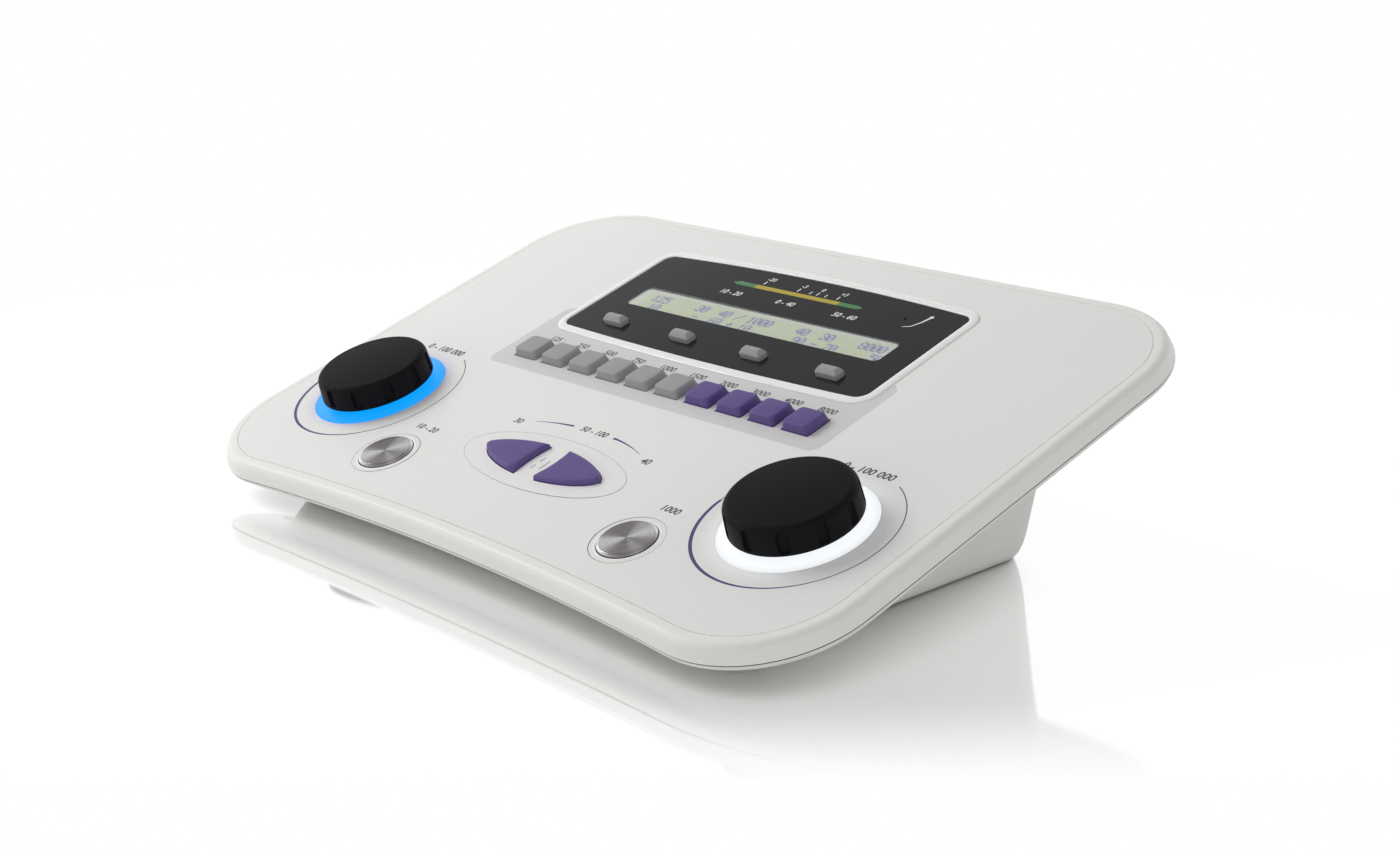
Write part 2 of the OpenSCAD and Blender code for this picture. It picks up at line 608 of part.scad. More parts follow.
module knob(side) {
  shoulder = knob_rim_h - knob_round;
  color([0.13, 0.13, 0.14]) on_panel() translate([side * knob_x, 0, 0]) difference() {
    rotate_extrude($fn = 144) polygon(concat(
      [[shaft_r + 0.02, knob_lift], [hub_r, knob_lift], [hub_r, knob_rim_h - knob_roof],
       [knob_r - knob_wall, knob_rim_h - knob_roof], [knob_r - knob_wall, knob_lift],
       [knob_r, knob_lift]],
      [for (a = [0:15:90]) [knob_top_r - knob_round * (1 - cos(a)), shoulder + knob_round * sin(a)]],
      [for (t = [0.75, 0.5, 0.25, 0]) [(knob_top_r - knob_round) * t, knob_rim_h + knob_dome * (1 - t * t)]],
      [[0, knob_rim_h - 1], [shaft_r + 0.02, knob_rim_h - 1]]));
    for (k = [0:knob_notches - 1]) rotate([0, 0, k * 360 / knob_notches - 87])
      translate([knob_r - notch_depth, -notch_w / 2, knob_lift + 0.8])
        cube([4, notch_w, shoulder - knob_lift + 0.1]);
  }
}
module knob_shaft(side) {
  color(steel) on_panel() translate([side * knob_x, 0, board_top + 0.6])
    cylinder(r = shaft_r, h = board_depth - 0.6 + knob_rim_h - 1.05, $fn = 48);
}
module encoder(side) {
  bush_top = knob_lift - 0.6;
  color(steel) on_panel() translate([side * knob_x, 0, 0]) difference() {
    union() {
      translate([-6.5, -6.5, board_top]) cube([13, 13, 6]);
      translate([0, 0, board_top + 5]) cylinder(r = shaft_r + 1.5, h = bush_top - board_top - 5, $fn = 64);
    }
    translate([0, 0, board_top + 0.5]) cylinder(r = shaft_r + shaft_gap, h = 30, $fn = 96);
  }
}
module light_ring(side) {
  color(side < 0 ? [0, 0.62, 1] : [0.95, 0.98, 1]) on_panel() translate([side * knob_x, 0, -ring_t])
    difference() {
      cylinder(r = ring_r, h = ring_t, $fn = 96);
      translate([0, 0, -1]) cylinder(r = shaft_r + 1.7, h = 5, $fn = 64);
    }
}

// ---------- boards and what they carry ----------

module push_switch() {
  color(part_black) {
    translate([-switch_w / 2, -switch_w / 2, board_top]) cube([switch_w, switch_w, switch_h]);
    translate([0, 0, board_top + switch_h - eps]) cylinder(r = plunger_r, h = plunger_h + eps, $fn = 32);
  }
}
module key_switches() { on_panel() at_keys() push_switch(); }
module soft_key_switches() { on_panel() at_soft_keys() push_switch(); }
module talkover_switches() {
  on_panel() for (s = [-1, 1]) translate([s * (leaf_gap + 8), leaf_y, 0]) push_switch();
}
module round_button_switches() { on_panel() at_rounds() push_switch(); }
module talkback_mic() {
  color(steel) on_panel() translate([0, leaf_y, board_top])
    cylinder(r = leaf_gap - 1.6, h = board_depth - shell_wall - lay_gap, $fn = 48);
}
module ring_leds() {
  color([0.95, 0.95, 0.9]) on_panel() at_knobs() for (k = [0:3])
    rotate([0, 0, k * 90]) translate([7.6, -1.5, board_top]) cube([3, 3, 1.8]);
}
module main_board() {
  narrow = board_half - 22;
  back = soft_row_y + switch_w / 2 + 0.6;
  color(board_green) on_panel() difference() {
    prism([[-narrow, -32], [narrow, -32], [board_half, -11], [board_half, 14], [board_half - 14, 52],
           [board_half - 14, back], [14 - board_half, back], [14 - board_half, 52],
           [-board_half, 14], [-board_half, -11]],
          board_top - board_t, board_top);
    for (p = board_post_places) translate([p[0], p[1], -30])
      cylinder(r = board_screw_r + 0.15, h = 30, $fn = 32);
  }
}
module pan_screw(r, head_r, head_h, length) {
  translate([0, 0, -head_h]) cylinder(r = head_r, h = head_h, $fn = 32);
  translate([0, 0, -eps]) cylinder(r = r, h = length + eps, $fn = 32);
}
module board_screws() {
  color(steel) {
    on_panel() for (p = board_post_places) translate([p[0], p[1], board_top - board_t])
      pan_screw(board_screw_r, 1.9, 1, 5);
    on_panel() for (p = lcd_post_places) translate([p[0], p[1], lcd_board_top - board_t])
      pan_screw(board_screw_r, 1.9, 1, 3);
    for (p = socket_post_places) translate([p[0], p[1] + shift_y, socket_board_top])
      rotate([180, 0, 0]) pan_screw(board_screw_r, 1.9, 1, 4.5);
  }
}
module case_screws() {
  color(steel) on_panel() for (p = case_screw_places) translate([p[0], p[1], -rim_depth + 1.4])
    pan_screw(screw_r, screw_head_r, 1.2, 4.6);
}
module rubber_feet() {
  color(part_black) at_feet() cylinder(r = foot_r, h = foot_proud + 1, $fn = 64);
}

// ---------- rear sockets ----------

large_jacks = [-3, -2, -1, 0];
function jack_x(i) = large_jacks[i] * jack_pitch;
mini_places = [20, 36];
usb_x = 53;
power_x = 70;
plate_front = plate_back - plate_t;
// Places what follows on a socket axis: z points out of the back
module on_socket(x) {
  translate([x, plate_back + shift_y, socket_axis_h]) rotate([-90, 0, 0]) children();
}
jack_bush = 5.4;
mini_bush = 3.6;
usb_w = 12;
usb_h = 11;
power_w = 9.6;
module socket_plate() {
  color([0.3, 0.3, 0.32]) difference() {
    translate([-plate_half, plate_front + shift_y, plate_low])
      cube([2 * plate_half, plate_t, plate_high - plate_low]);
    for (i = [0:3]) on_socket(jack_x(i)) translate([0, 0, -9]) cylinder(r = jack_bush + lay_gap, h = 20, $fn = 64);
    for (x = mini_places) on_socket(x) translate([0, 0, -9]) cylinder(r = mini_bush + lay_gap, h = 20, $fn = 64);
    on_socket(usb_x) translate([-usb_w / 2 - lay_gap, -usb_h / 2 - lay_gap, -9])
      cube([usb_w + 2 * lay_gap, usb_h + 2 * lay_gap, 20]);
    on_socket(power_x) translate([-power_w / 2 - lay_gap, -power_w / 2 - lay_gap, -9])
      cube([power_w + 2 * lay_gap, power_w + 2 * lay_gap, 20]);
  }
}
// A jack socket: a body on the socket board and a round bush through the plate
module jack_socket(x, r, bore, bush, body_w, body_d) {
  proud = 1;
  color(part_black) on_socket(x) difference() {
    union() {
      translate([-body_w / 2, -body_w / 2 + 0.4, -plate_t - body_d])
        cube([body_w, socket_axis_h - socket_board_top + body_w / 2 - 0.4, body_d]);
      translate([0, 0, -plate_t - 1]) cylinder(r = bush, h = plate_t + 1 + proud, $fn = 64);
    }
    translate([0, 0, proud - bore]) cylinder(r = r, h = bore + 1, $fn = 64);
  }
}
module large_jack(i) { jack_socket(jack_x(i), jack_r, jack_bore, jack_bush, 14, 15); }
module mini_jack(x) { jack_socket(x, mini_r, mini_bore, mini_bush, 8.4, 11.5); }
// A box through the plate, with a taller part behind it that stands on the socket board
module socket_block(w, h, d) {
  translate([-w / 2, -h / 2, -d]) cube([w, h, d]);
  translate([-w / 2, 0, -d]) cube([w, socket_axis_h - socket_board_top, d - plate_t]);
}
module usb_socket() {
  color(steel) on_socket(usb_x) difference() {
    socket_block(usb_w, usb_h, 15);
    translate([-4.3, -3.9, -9]) cube([8.6, 7.8, 20]);
  }
}
module power_inlet() {
  color(part_black) on_socket(power_x) {
    difference() {
      socket_block(power_w, power_w, 13);
      translate([0, 0, -9]) cylinder(r = 3.2, h = 20, $fn = 64);
    }
    translate([0, 0, -9 - eps]) cylinder(r = 1, h = 8, $fn = 32);
  }
}
module socket_board() {
  color(board_green) difference() {
    translate([-82, plate_front - 18 + shift_y, socket_board_top - board_t]) cube([164, 17.6, board_t]);
    for (p = socket_post_places) translate([p[0], p[1] + shift_y, 0])
      cylinder(r = board_screw_r + 0.15, h = 30, $fn = 32);
  }
}

// ---------- the assembly ----------

top_housing();
bottom_housing();
overlay_panel();
display_frame();
display_bezel();
display_window();
level_light_bar();
lcd_frame();
lcd_glass();
lcd_board();
for (i = [1:4]) soft_key(i);
for (i = [1:10]) key(i);
talkover_button(-1);  // talkover_yes_button
talkover_button(1);  // talkover_no_button
round_button(-1);  // round_button_left
round_button(1);  // round_button_right
knob(-1);  // knob_left
knob(1);  // knob_right
knob_shaft(-1);  // knob_shaft_left
knob_shaft(1);  // knob_shaft_right
encoder(-1);  // encoder_left
encoder(1);  // encoder_right
light_ring(-1);  // light_ring_left
light_ring(1);  // light_ring_right
ring_leds();
key_switches();
soft_key_switches();
talkover_switches();
round_button_switches();
talkback_mic();
main_board();
socket_board();
board_screws();
socket_plate();
large_jack(0);  // headset_left_jack
large_jack(1);  // headset_right_jack
large_jack(2);  // bone_jack
large_jack(3);  // response_jack
mini_jack(mini_places[0]);  // talkback_jack
mini_jack(mini_places[1]);  // monitor_jack
usb_socket();
power_inlet();
case_screws();
rubber_feet();
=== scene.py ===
"""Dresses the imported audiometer: shells, printed panel, keys, knobs, lit rings, display and rear sockets."""

import math
from collections import namedtuple

import bmesh
import bpy
from bpy.props import FloatProperty, FloatVectorProperty, IntProperty, PointerProperty
from mathutils import Matrix, Vector


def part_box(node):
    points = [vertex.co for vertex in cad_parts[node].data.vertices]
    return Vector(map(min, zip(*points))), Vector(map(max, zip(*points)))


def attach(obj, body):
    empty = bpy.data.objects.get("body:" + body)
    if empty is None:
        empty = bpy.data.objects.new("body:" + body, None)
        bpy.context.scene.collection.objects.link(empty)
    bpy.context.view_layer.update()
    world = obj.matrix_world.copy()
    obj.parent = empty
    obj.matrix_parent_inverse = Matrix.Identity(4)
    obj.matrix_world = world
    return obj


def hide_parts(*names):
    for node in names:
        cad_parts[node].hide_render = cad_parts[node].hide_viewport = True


bl_info = {
    "name": "Desktop audiometer",
    "version": (1, 0, 0),
    "blender": (4, 5, 0),
    "location": "View3D > Sidebar > Audiometer",
    "description": "Builds the visible pieces of a two-channel desktop audiometer round its solids",
    "category": "Add Mesh",
}

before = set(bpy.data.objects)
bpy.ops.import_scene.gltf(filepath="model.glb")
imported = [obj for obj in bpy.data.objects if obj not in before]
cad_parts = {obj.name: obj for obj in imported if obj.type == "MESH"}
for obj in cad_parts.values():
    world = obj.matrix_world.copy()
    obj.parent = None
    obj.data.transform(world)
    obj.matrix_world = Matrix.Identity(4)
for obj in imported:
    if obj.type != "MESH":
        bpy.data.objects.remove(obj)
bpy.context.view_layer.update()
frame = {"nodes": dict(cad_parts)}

MM = 0.001
TILT = math.radians(18.7)
# Depth of the middle of a lit ring below the panel face
RING_MIDDLE = 0.7


def knob_row_from_box():
    """Height of the panel face at the knobs and its place along Y, in mm, read from a lit ring's box."""
    low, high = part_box("light_ring_left")
    return ((low.z + high.z) / 2 / MM + RING_MIDDLE * math.cos(TILT),
            (low.y + high.y) / 2 / MM - RING_MIDDLE * math.sin(TILT))


KNOB_ROW_H, SHIFT_Y = knob_row_from_box()

# ---------------------------------------------------------------- properties


def length(name, text, value, low=0.0, high=1.0):
    """A length in metres, from a value in millimetres."""
    return FloatProperty(name=name, description=text, default=value * MM, min=low, max=high, unit="LENGTH",
                         precision=5)


def srgb(r, g, b):
    """Linear colour of an 8-bit screen colour."""
    def linear(v):
        v /= 255.0
        return v / 12.92 if v <= 0.04045 else ((v + 0.055) / 1.055) ** 2.4
    return (linear(r), linear(g), linear(b))


def colour(name, text, value):
    """A colour from an 8-bit screen colour."""
    return FloatVectorProperty(name=name, description=text, default=srgb(*value), min=0.0, max=1.0, size=3,
                               subtype="COLOR")


class HousingSizes(bpy.types.PropertyGroup):
    """Sizes of the two shells and the base."""

    knob_row_height: length("Knob row height", "Height of the panel face above the table at the knobs",
                            KNOB_ROW_H)
    panel_tilt: FloatProperty(name="Panel tilt", description="Slope of the panel face",
                              default=TILT, subtype="ANGLE")
    back_half: length("Back half width", "Half width of the housing at its back corners", 135.0)
    front_half: length("Front half width", "Half width of the housing at its front corners", 133.6)
    back_reach: length("Back reach", "From the knob row to the back edge, along the panel", 130.45)
    front_reach: length("Front reach", "From the knob row to the front corners, along the panel", 52.46)
    front_bow: length("Front bow", "How far the middle of the front edge is drawn back", 4.3)
    corner_radius: length("Corner radius", "Radius of the housing's corners from above", 34.0)
    edge_radius: length("Edge radius", "Radius of the soft edge round the panel", 2.6)
    side_lean: length("Side lean", "How far the side leans out down to the seam", 0.8)
    seam_depth: length("Seam depth", "Depth of the seam below the panel face", 5.0)
    seam_gap: length("Seam gap", "Width of the shadow gap between the shells", 0.3)
    seam_groove: length("Seam groove", "Depth of the shadow gap", 0.8)
    rim_depth: length("Rim depth", "Depth of the rim's underside below the panel face", 8.2)
    rim_round: length("Rim rounding", "Width of the rounding under the seam", 6.0)


class PanelSizes(bpy.types.PropertyGroup):
    """Sizes of what sits in the panel."""

    knob_spacing: length("Knob spacing", "Distance between the axes of the two knobs", 188.0)
    ring_radius: length("Ring radius", "Radius of the lit rings", 21.6)
    key_pitch: length("Key pitch", "Distance between neighbouring keys", 13.4)
    key_width: length("Key width", "Width of a key", 10.4)
    key_depth: length("Key depth", "Depth of a key", 9.6)
    key_row: length("Key row", "Middle of the key row from the knob row", 39.1)
    key_height: length("Key height", "Height of a key above the panel", 2.8)
    soft_pitch: length("Soft key pitch", "Distance between neighbouring soft keys", 31.6)
    soft_row: length("Soft key row", "Middle of the soft key row from the knob row", 63.4)
    soft_height: length("Soft key height", "Height of a soft key above the panel", 3.2)
    round_offset: length("Round button offset", "Distance from the middle to each round button", 55.6)
    round_front: length("Round button place", "Place of the round buttons in front of the knob row", 25.7)
    round_radius: length("Round button radius", "Radius of a round button", 8.4)
    leaf_half: length("Leaf half length", "Half length of the leaf that the talkover pair forms", 25.4)
    leaf_front: length("Leaf place", "Place of the leaf in front of the knob row", 8.8)
    notches: IntProperty(name="Knob notches", description="Finger notches round a knob", default=11,
                         min=6, max=24)


class Finishes(bpy.types.PropertyGroup):
    """Colours of the visible pieces."""

    shell: colour("Shell", "Off-white moulding of the shells", (236, 235, 231))
    film: colour("Film", "Printed film on the panel", (235, 234, 232))
    frame: colour("Display frame", "Pale frame round the display", (243, 243, 241))
    bezel: colour("Bezel", "Dark face round the display window", (17, 16, 21))
    display: colour("Display", "Pale green display", (182, 188, 158))
    characters: colour("Characters", "Characters on the display", (92, 92, 190))
    key: colour("Grey keys", "Grey keys and soft keys", (154, 154, 154))
    violet: colour("Violet keys", "Violet keys and talkover buttons", (88, 70, 134))
    ink: colour("Violet ink", "Printed circles and arcs", (74, 64, 120))
    print: colour("Dark ink", "Printed numbers and thin lines", (62, 62, 70))
    knob: colour("Knob", "Soft black of the knobs", (19, 18, 22))
    left_light: colour("Left light", "Light of the left ring", (0, 160, 255))
    right_light: colour("Right light", "Light of the right ring", (248, 252, 255))
    bar_green: colour("Bar green", "Green ends of the level bar", (52, 126, 66))
    bar_yellow: colour("Bar yellow", "Yellow middle of the level bar", (178, 158, 30))


def housing_sizes():
    return bpy.context.scene.audiometer_housing


def panel_sizes():
    return bpy.context.scene.audiometer_panel


def finishes():
    return bpy.context.scene.audiometer_finishes


# ---------------------------------------------------------------- outlines, in mm in the panel's plane

Outline = namedtuple("Outline", "front_half back_half front back front_r back_r front_bow back_bow")
CORNER_STEPS = 20
BOW_STEPS = 40


def arc(cx, cy, r, a0, a1, steps=CORNER_STEPS):
    """Points of an arc from angle a0 to a1, in radians."""
    return [(cx + r * math.cos(a0 + (a1 - a0) * i / steps), cy + r * math.sin(a0 + (a1 - a0) * i / steps))
            for i in range(steps + 1)]


def bowed(a, b, bow, steps=BOW_STEPS):
    """Inner points of an edge from a to b that swells by bow in the middle."""
    out = []
    for i in range(1, steps):
        t = i / steps
        out.append((a[0] + (b[0] - a[0]) * t, a[1] + (b[1] - a[1]) * t + bow * (1 - (2 * t - 1) ** 2)))
    return out


def flipped(points):
    return [(-x, y) for x, y in reversed(points)]


def outline(s, inset=0.0):
    """A symmetric outline with bowed front and back edges, drawn in by inset."""
    front_c = (s.front_half - s.front_r, s.front + s.front_r)
    back_c = (s.back_half - s.back_r, s.back - s.back_r)
    lean = math.atan2(s.back_half - s.front_half, back_c[1] - front_c[1])
    front_a = math.atan(2 * s.front_bow / front_c[0])
    back_a = math.atan(2 * s.back_bow / back_c[0])
    front = arc(*front_c, s.front_r - inset, -math.pi / 2 - front_a, -lean)
    back = arc(*back_c, s.back_r - inset, -lean, math.pi / 2 - back_a)
    left_front, left_back = flipped(front), flipped(back)
    return (bowed(left_front[-1], front[0], s.front_bow) + front + back
            + bowed(back[-1], left_back[0], s.back_bow) + left_back + left_front)


def housing_outline():
    h = housing_sizes()
    r = h.corner_radius / MM
    return Outline(h.front_half / MM, h.back_half / MM, -h.front_reach / MM, h.back_reach / MM, r, r,
                   h.front_bow / MM, 0.0)


# Outlines of the base under the rim and at the table, and of the display's face
BASE_TOP = Outline(117.0, 117.0, -41.0, 97.0, 26.0, 26.0, 4.3, 0.0)
BASE_FOOT = Outline(97.0, 94.0, -28.0, 94.0, 8.0, 8.0, 2.15, 0.0)
BEZEL = Outline(66.5, 66.5, 55.9, 106.4, 4.0, 4.0, -1.4, 2.6)
# Share of the height and share of the way in, from the table up to the rim
BASE_STEPS = [(1, 1.03), (0.99, 0.97), (0.93, 0.84), (0.84, 0.73), (0.68, 0.62), (0.5, 0.5),
              (0.3, 0.37), (0.15, 0.24), (0.05, 0.12), (0, 0)]
# How far the feet stand out under the base
FOOT_PROUD = 0.4
# From the housing's edge to the film, and the film's thickness
OVERLAY_INSET, OVERLAY_T = 5.2, 0.3
# Width and height of the pale frame round the display
FRAME_W, FRAME_H = 3.1, 0.55
# Heights of the display's face and of its underside over the panel
BEZEL_PROUD, BEZEL_LOW = 0.2, -1.3
# Underside of the panel, and how far in the two shells meet
CEILING, SEAM_LAND = -2.5, 3.4
# Clearance of what is laid in, and of what moves
LAY_GAP, KEY_GAP = 0.1, 0.3
# Half width of the display's window, and its front and back edge
WINDOW_HALF, WINDOW = 55.6, (74.6, 86.0)
# The light ring's underside, and below and above what the panel's openings are cut from and to
RING_LOW, CUT_LOW, CUT_HIGH = -1.4, -6.0, 2.0
# How many keys the row has, and how many of them are grey
KEYS, GREY_KEYS = 10, 6


def rounded_box(w, d, r, steps=6):
    """Rounded rectangle about the origin."""
    points = []
    quarter = math.pi / 2
    for sx, sy, start in ((1, 1, 0), (-1, 1, 1), (-1, -1, 2), (1, -1, 3)):
        points += arc(sx * (w / 2 - r), sy * (d / 2 - r), r, start * quarter, (start + 1) * quarter, steps)
    return points


def circle(x, y, r, steps=128):
    return [(x + r * math.cos(2 * math.pi * i / steps), y + r * math.sin(2 * math.pi * i / steps))
            for i in range(steps)]


def moved(points, x, y):
    return [(px + x, py + y) for px, py in points]


def key_x(i):
    """Middle of a key of the row, counted from 0 at the left."""
    return (i - (KEYS - 1) / 2) * panel_sizes().key_pitch / MM


def key_opening(i):
    """The opening of a key in the panel and in the film."""
    p = panel_sizes()
    hole = rounded_box(p.key_width / MM + 2 * KEY_GAP, p.key_depth / MM + 2 * KEY_GAP, 0.6)
    return moved(hole, key_x(i), p.key_row / MM)


def soft_x(i):
    """Middle of a soft key, counted from 0 at the left."""
    return (i - 1.5) * panel_sizes().soft_pitch / MM


def places():
    """Knob place, round button place and round button row from the middle of the knob row."""
    p = panel_sizes()
    return p.knob_spacing / 2 / MM, p.round_offset / MM, -p.round_front / MM


# The leaf: from its middle to each half, its half width, how hollow its inner edges are
LEAF_GAP, LEAF_HALF_W, LEAF_HOLLOW = 4.6, 7.5, 0.8
LEAF_STEPS = 24
# Talkback slots between the halves: x, y and length
MIC_SLOTS = ((-1.7, -7.2, 2.2), (-1.7, -11.0, 2.2), (1.3, -9.2, 4.4))
MIC_SLOT_W = 0.6


def mic_openings():
    """The talkback slots in the panel and in the film."""
    return [moved(rounded_box(MIC_SLOT_W, d, MIC_SLOT_W / 2 - 0.01), x, y) for x, y, d in MIC_SLOTS]


def leaf(side, inset=0.0, steps=LEAF_STEPS):
    """One half of the leaf about its middle, side 1 for the right and -1 for the left."""
    half = panel_sizes().leaf_half / MM
    x0, x1 = LEAF_GAP + inset, half - inset * 1.3

    def edge(x):
        return LEAF_HALF_W * max(0.0, 1 - (x / half) ** 2) ** 0.65

    low = []
    for i in range(steps + 1):
        x = x0 + (x1 - x0) * (1 - (1 - i / steps) ** 1.6)
        low.append((x, -max(0.0, edge(x) - inset)))
    reach = -low[0][1]
    low = [q for q in low if q[1] < -0.02]
    inner = [(x0 + LEAF_HOLLOW * (1 - (2 * i / 12 - 1) ** 2), reach * (1 - 2 * i / 12)) for i in range(1, 12)]
    right = low + [(x1, 0.0)] + [(x, -y) for x, y in reversed(low)] + inner
    return right if side > 0 else flipped(right)


# ---------------------------------------------------------------- frames


def panel():
    """Matrix from panel millimetres to the part's metres."""
    h = housing_sizes()
    return (Matrix.Translation((0, SHIFT_Y * MM, h.knob_row_height)) @ Matrix.Rotation(h.panel_tilt, 4, "X")
            @ Matrix.Scale(MM, 4))


def upright():
    """Matrix from upright millimetres, measured from the knob row, to the part's metres."""
    return Matrix.Translation((0, SHIFT_Y * MM, 0)) @ Matrix.Scale(MM, 4)


# ---------------------------------------------------------------- mesh helpers


def new_mesh(name, bm):
    mesh = bpy.data.meshes.new(name)
    bm.to_mesh(mesh)
    bm.free()
    return mesh


def shade(obj, angle=35.0):
    """Smooth shading with edges sharper than angle kept sharp."""
    mesh = obj.data
    mesh.polygons.foreach_set("use_smooth", [True] * len(mesh.polygons))
    mesh.set_sharp_from_angle(angle=math.radians(angle))
    mesh.update()
    return obj


def put(name, mesh, material=None, angle=35.0):
    """Links a mesh as a new object at the origin."""
    obj = bpy.data.objects.new(name, mesh)
    bpy.context.scene.collection.objects.link(obj)
    if material is not None:
        mesh.materials.clear()
        mesh.materials.append(material)
    return shade(obj, angle)


def loft_bm(rings, matrix, close_low=True, close_high=True):
    """Closed skin through rings of equal length."""
    bm = bmesh.new()
    rows = [[bm.verts.new(matrix @ Vector(q)) for q in ring] for ring in rings]
    n = len(rows[0])
    for a, b in zip(rows, rows[1:]):
        for i in range(n):
            bm.faces.new((a[i], a[(i + 1) % n], b[(i + 1) % n], b[i]))
    if close_low:
        bm.faces.new(list(reversed(rows[0])))
    if close_high:
        bm.faces.new(rows[-1])
    bmesh.ops.recalc_face_normals(bm, faces=bm.faces)
    return bm


def loft(name, rings, matrix, material=None, angle=35.0):
    return put(name, new_mesh(name, loft_bm(rings, matrix)), material, angle)


def lift(points, height):
    return [(x, y, height) for x, y in points]


def prism(name, points, low, high, matrix, material=None):
    return loft(name, [lift(points, low), lift(points, high)], matrix, material)


def lathe(name, profile, x, y, matrix, material=None, steps=128, angle=35.0):
    """Turns (radius, height) round an axis square to the panel at x, y. The ends lie on the axis."""
    bm = bmesh.new()
    rows = []
    for r, h in profile:
        if r < 1e-6:
            rows.append([bm.verts.new(matrix @ Vector((x, y, h)))])
        else:
            rows.append([bm.verts.new(matrix @ Vector((x + r * math.cos(2 * math.pi * i / steps),
                                                       y + r * math.sin(2 * math.pi * i / steps), h)))
                         for i in range(steps)])
    for a, b in zip(rows, rows[1:]):
        for i in range(steps):
            j = (i + 1) % steps
            corners = [a[i % len(a)], a[j % len(a)], b[j % len(b)], b[i % len(b)]]
            face = list(dict.fromkeys(corners))
            if len(face) > 2:
                bm.faces.new(face)
    bmesh.ops.recalc_face_normals(bm, faces=bm.faces)
    return put(name, new_mesh(name, bm), material, angle)


def made_plain(obj):
    """Applies obj's modifiers."""
    bpy.context.view_layer.update()
    mesh = bpy.data.meshes.new_from_object(obj.evaluated_get(bpy.context.evaluated_depsgraph_get()))
    mesh.name = obj.name
    obj.modifiers.clear()
    obj.data = mesh
    return obj


def carve(obj, cutters, angle=35.0):
    """Takes the cutters out of obj and removes them."""
    tools = bpy.data.collections.new("cutters")
    bpy.context.scene.collection.children.link(tools)
    for cutter in cutters:
        bpy.context.scene.collection.objects.unlink(cutter)
        tools.objects.link(cutter)
    cut = obj.modifiers.new("openings", "BOOLEAN")
    cut.operation = "DIFFERENCE"
    cut.solver = "EXACT"
    cut.operand_type = "COLLECTION"
    cut.collection = tools
    made_plain(obj)
    for cutter in cutters:
        bpy.data.objects.remove(cutter)
    bpy.data.collections.remove(tools)
    bm = bmesh.new()
    bm.from_mesh(obj.data)
    bmesh.ops.remove_doubles(bm, verts=bm.verts, dist=1e-7)
    bmesh.ops.dissolve_degenerate(bm, dist=1e-7, edges=bm.edges)
    bm.to_mesh(obj.data)
    bm.free()
    return shade(obj, angle)


def plate(name, loops, low, high, matrix, material=None, soft=0.0, angle=35.0):
    """A flat plate with holes: the first loop is its edge. soft rounds its edges."""
    curve = bpy.data.curves.new(name, "CURVE")
    curve.dimensions = "2D"
    curve.fill_mode = "BOTH"
    curve.extrude = (high - low) / 2 - soft
    curve.bevel_depth = soft
    curve.bevel_resolution = 3
    curve.offset = -soft
    for loop in loops:
        spline = curve.splines.new("POLY")
        spline.points.add(len(loop) - 1)
        for point, (x, y) in zip(spline.points, loop):
            point.co = (x, y, 0, 1)
        spline.use_cyclic_u = True
    holder = bpy.data.objects.new(name, curve)
    bpy.context.scene.collection.objects.link(holder)
    bpy.context.view_layer.update()
    mesh = bpy.data.meshes.new_from_object(holder.evaluated_get(bpy.context.evaluated_depsgraph_get()))
    bpy.data.objects.remove(holder)
    bpy.data.curves.remove(curve)
    bm = bmesh.new()
    bm.from_mesh(mesh)
    bpy.data.meshes.remove(mesh)
    bmesh.ops.translate(bm, verts=bm.verts, vec=(0, 0, (low + high) / 2))
    bmesh.ops.transform(bm, verts=bm.verts, matrix=matrix)
    bmesh.ops.remove_doubles(bm, verts=bm.verts, dist=1e-7)
    bmesh.ops.recalc_face_normals(bm, faces=bm.faces)
    return put(name, new_mesh(name, bm), material, angle)


def joined(name, objects, material=None, angle=35.0):
    """One mesh of several objects, with one material."""
    bm = bmesh.new()
    for obj in objects:
        bm.from_mesh(obj.data)
    for obj in objects:
        bpy.data.objects.remove(obj)
    return put(name, new_mesh(name, bm), material, angle)


def ribbon(name, points, widths, low, high, matrix, closed=False):
    """A flat printed line along points with a width at each point."""
    n = len(points)
    left, right = [], []
    for i, (x, y) in enumerate(points):
        a = points[(i - 1) % n] if closed or i else points[i]
        b = points[(i + 1) % n] if closed or i < n - 1 else points[i]
        dx, dy = b[0] - a[0], b[1] - a[1]
        size = math.hypot(dx, dy)
        nx, ny = -dy / size * widths[i] / 2, dx / size * widths[i] / 2
        left.append((x + nx, y + ny))
        right.append((x - nx, y - ny))
    bm = bmesh.new()
    rows = [[bm.verts.new(matrix @ Vector((*q, h))) for q in side]
            for side, h in ((left, low), (left, high), (right, high), (right, low))]
    for a, b in zip(rows, rows[1:] + rows[:1]):
        for i in range(n if closed else n - 1):
            bm.faces.new((a[i], a[(i + 1) % n], b[(i + 1) % n], b[i]))
    if not closed:
        bm.faces.new([row[0] for row in rows])
        bm.faces.new([row[-1] for row in reversed(rows)])
    bmesh.ops.recalc_face_normals(bm, faces=bm.faces)
    return put(name, new_mesh(name, bm))


# How much wider the strokes of a number are drawn, for each mm of its height
INK_SPREAD = 0.014


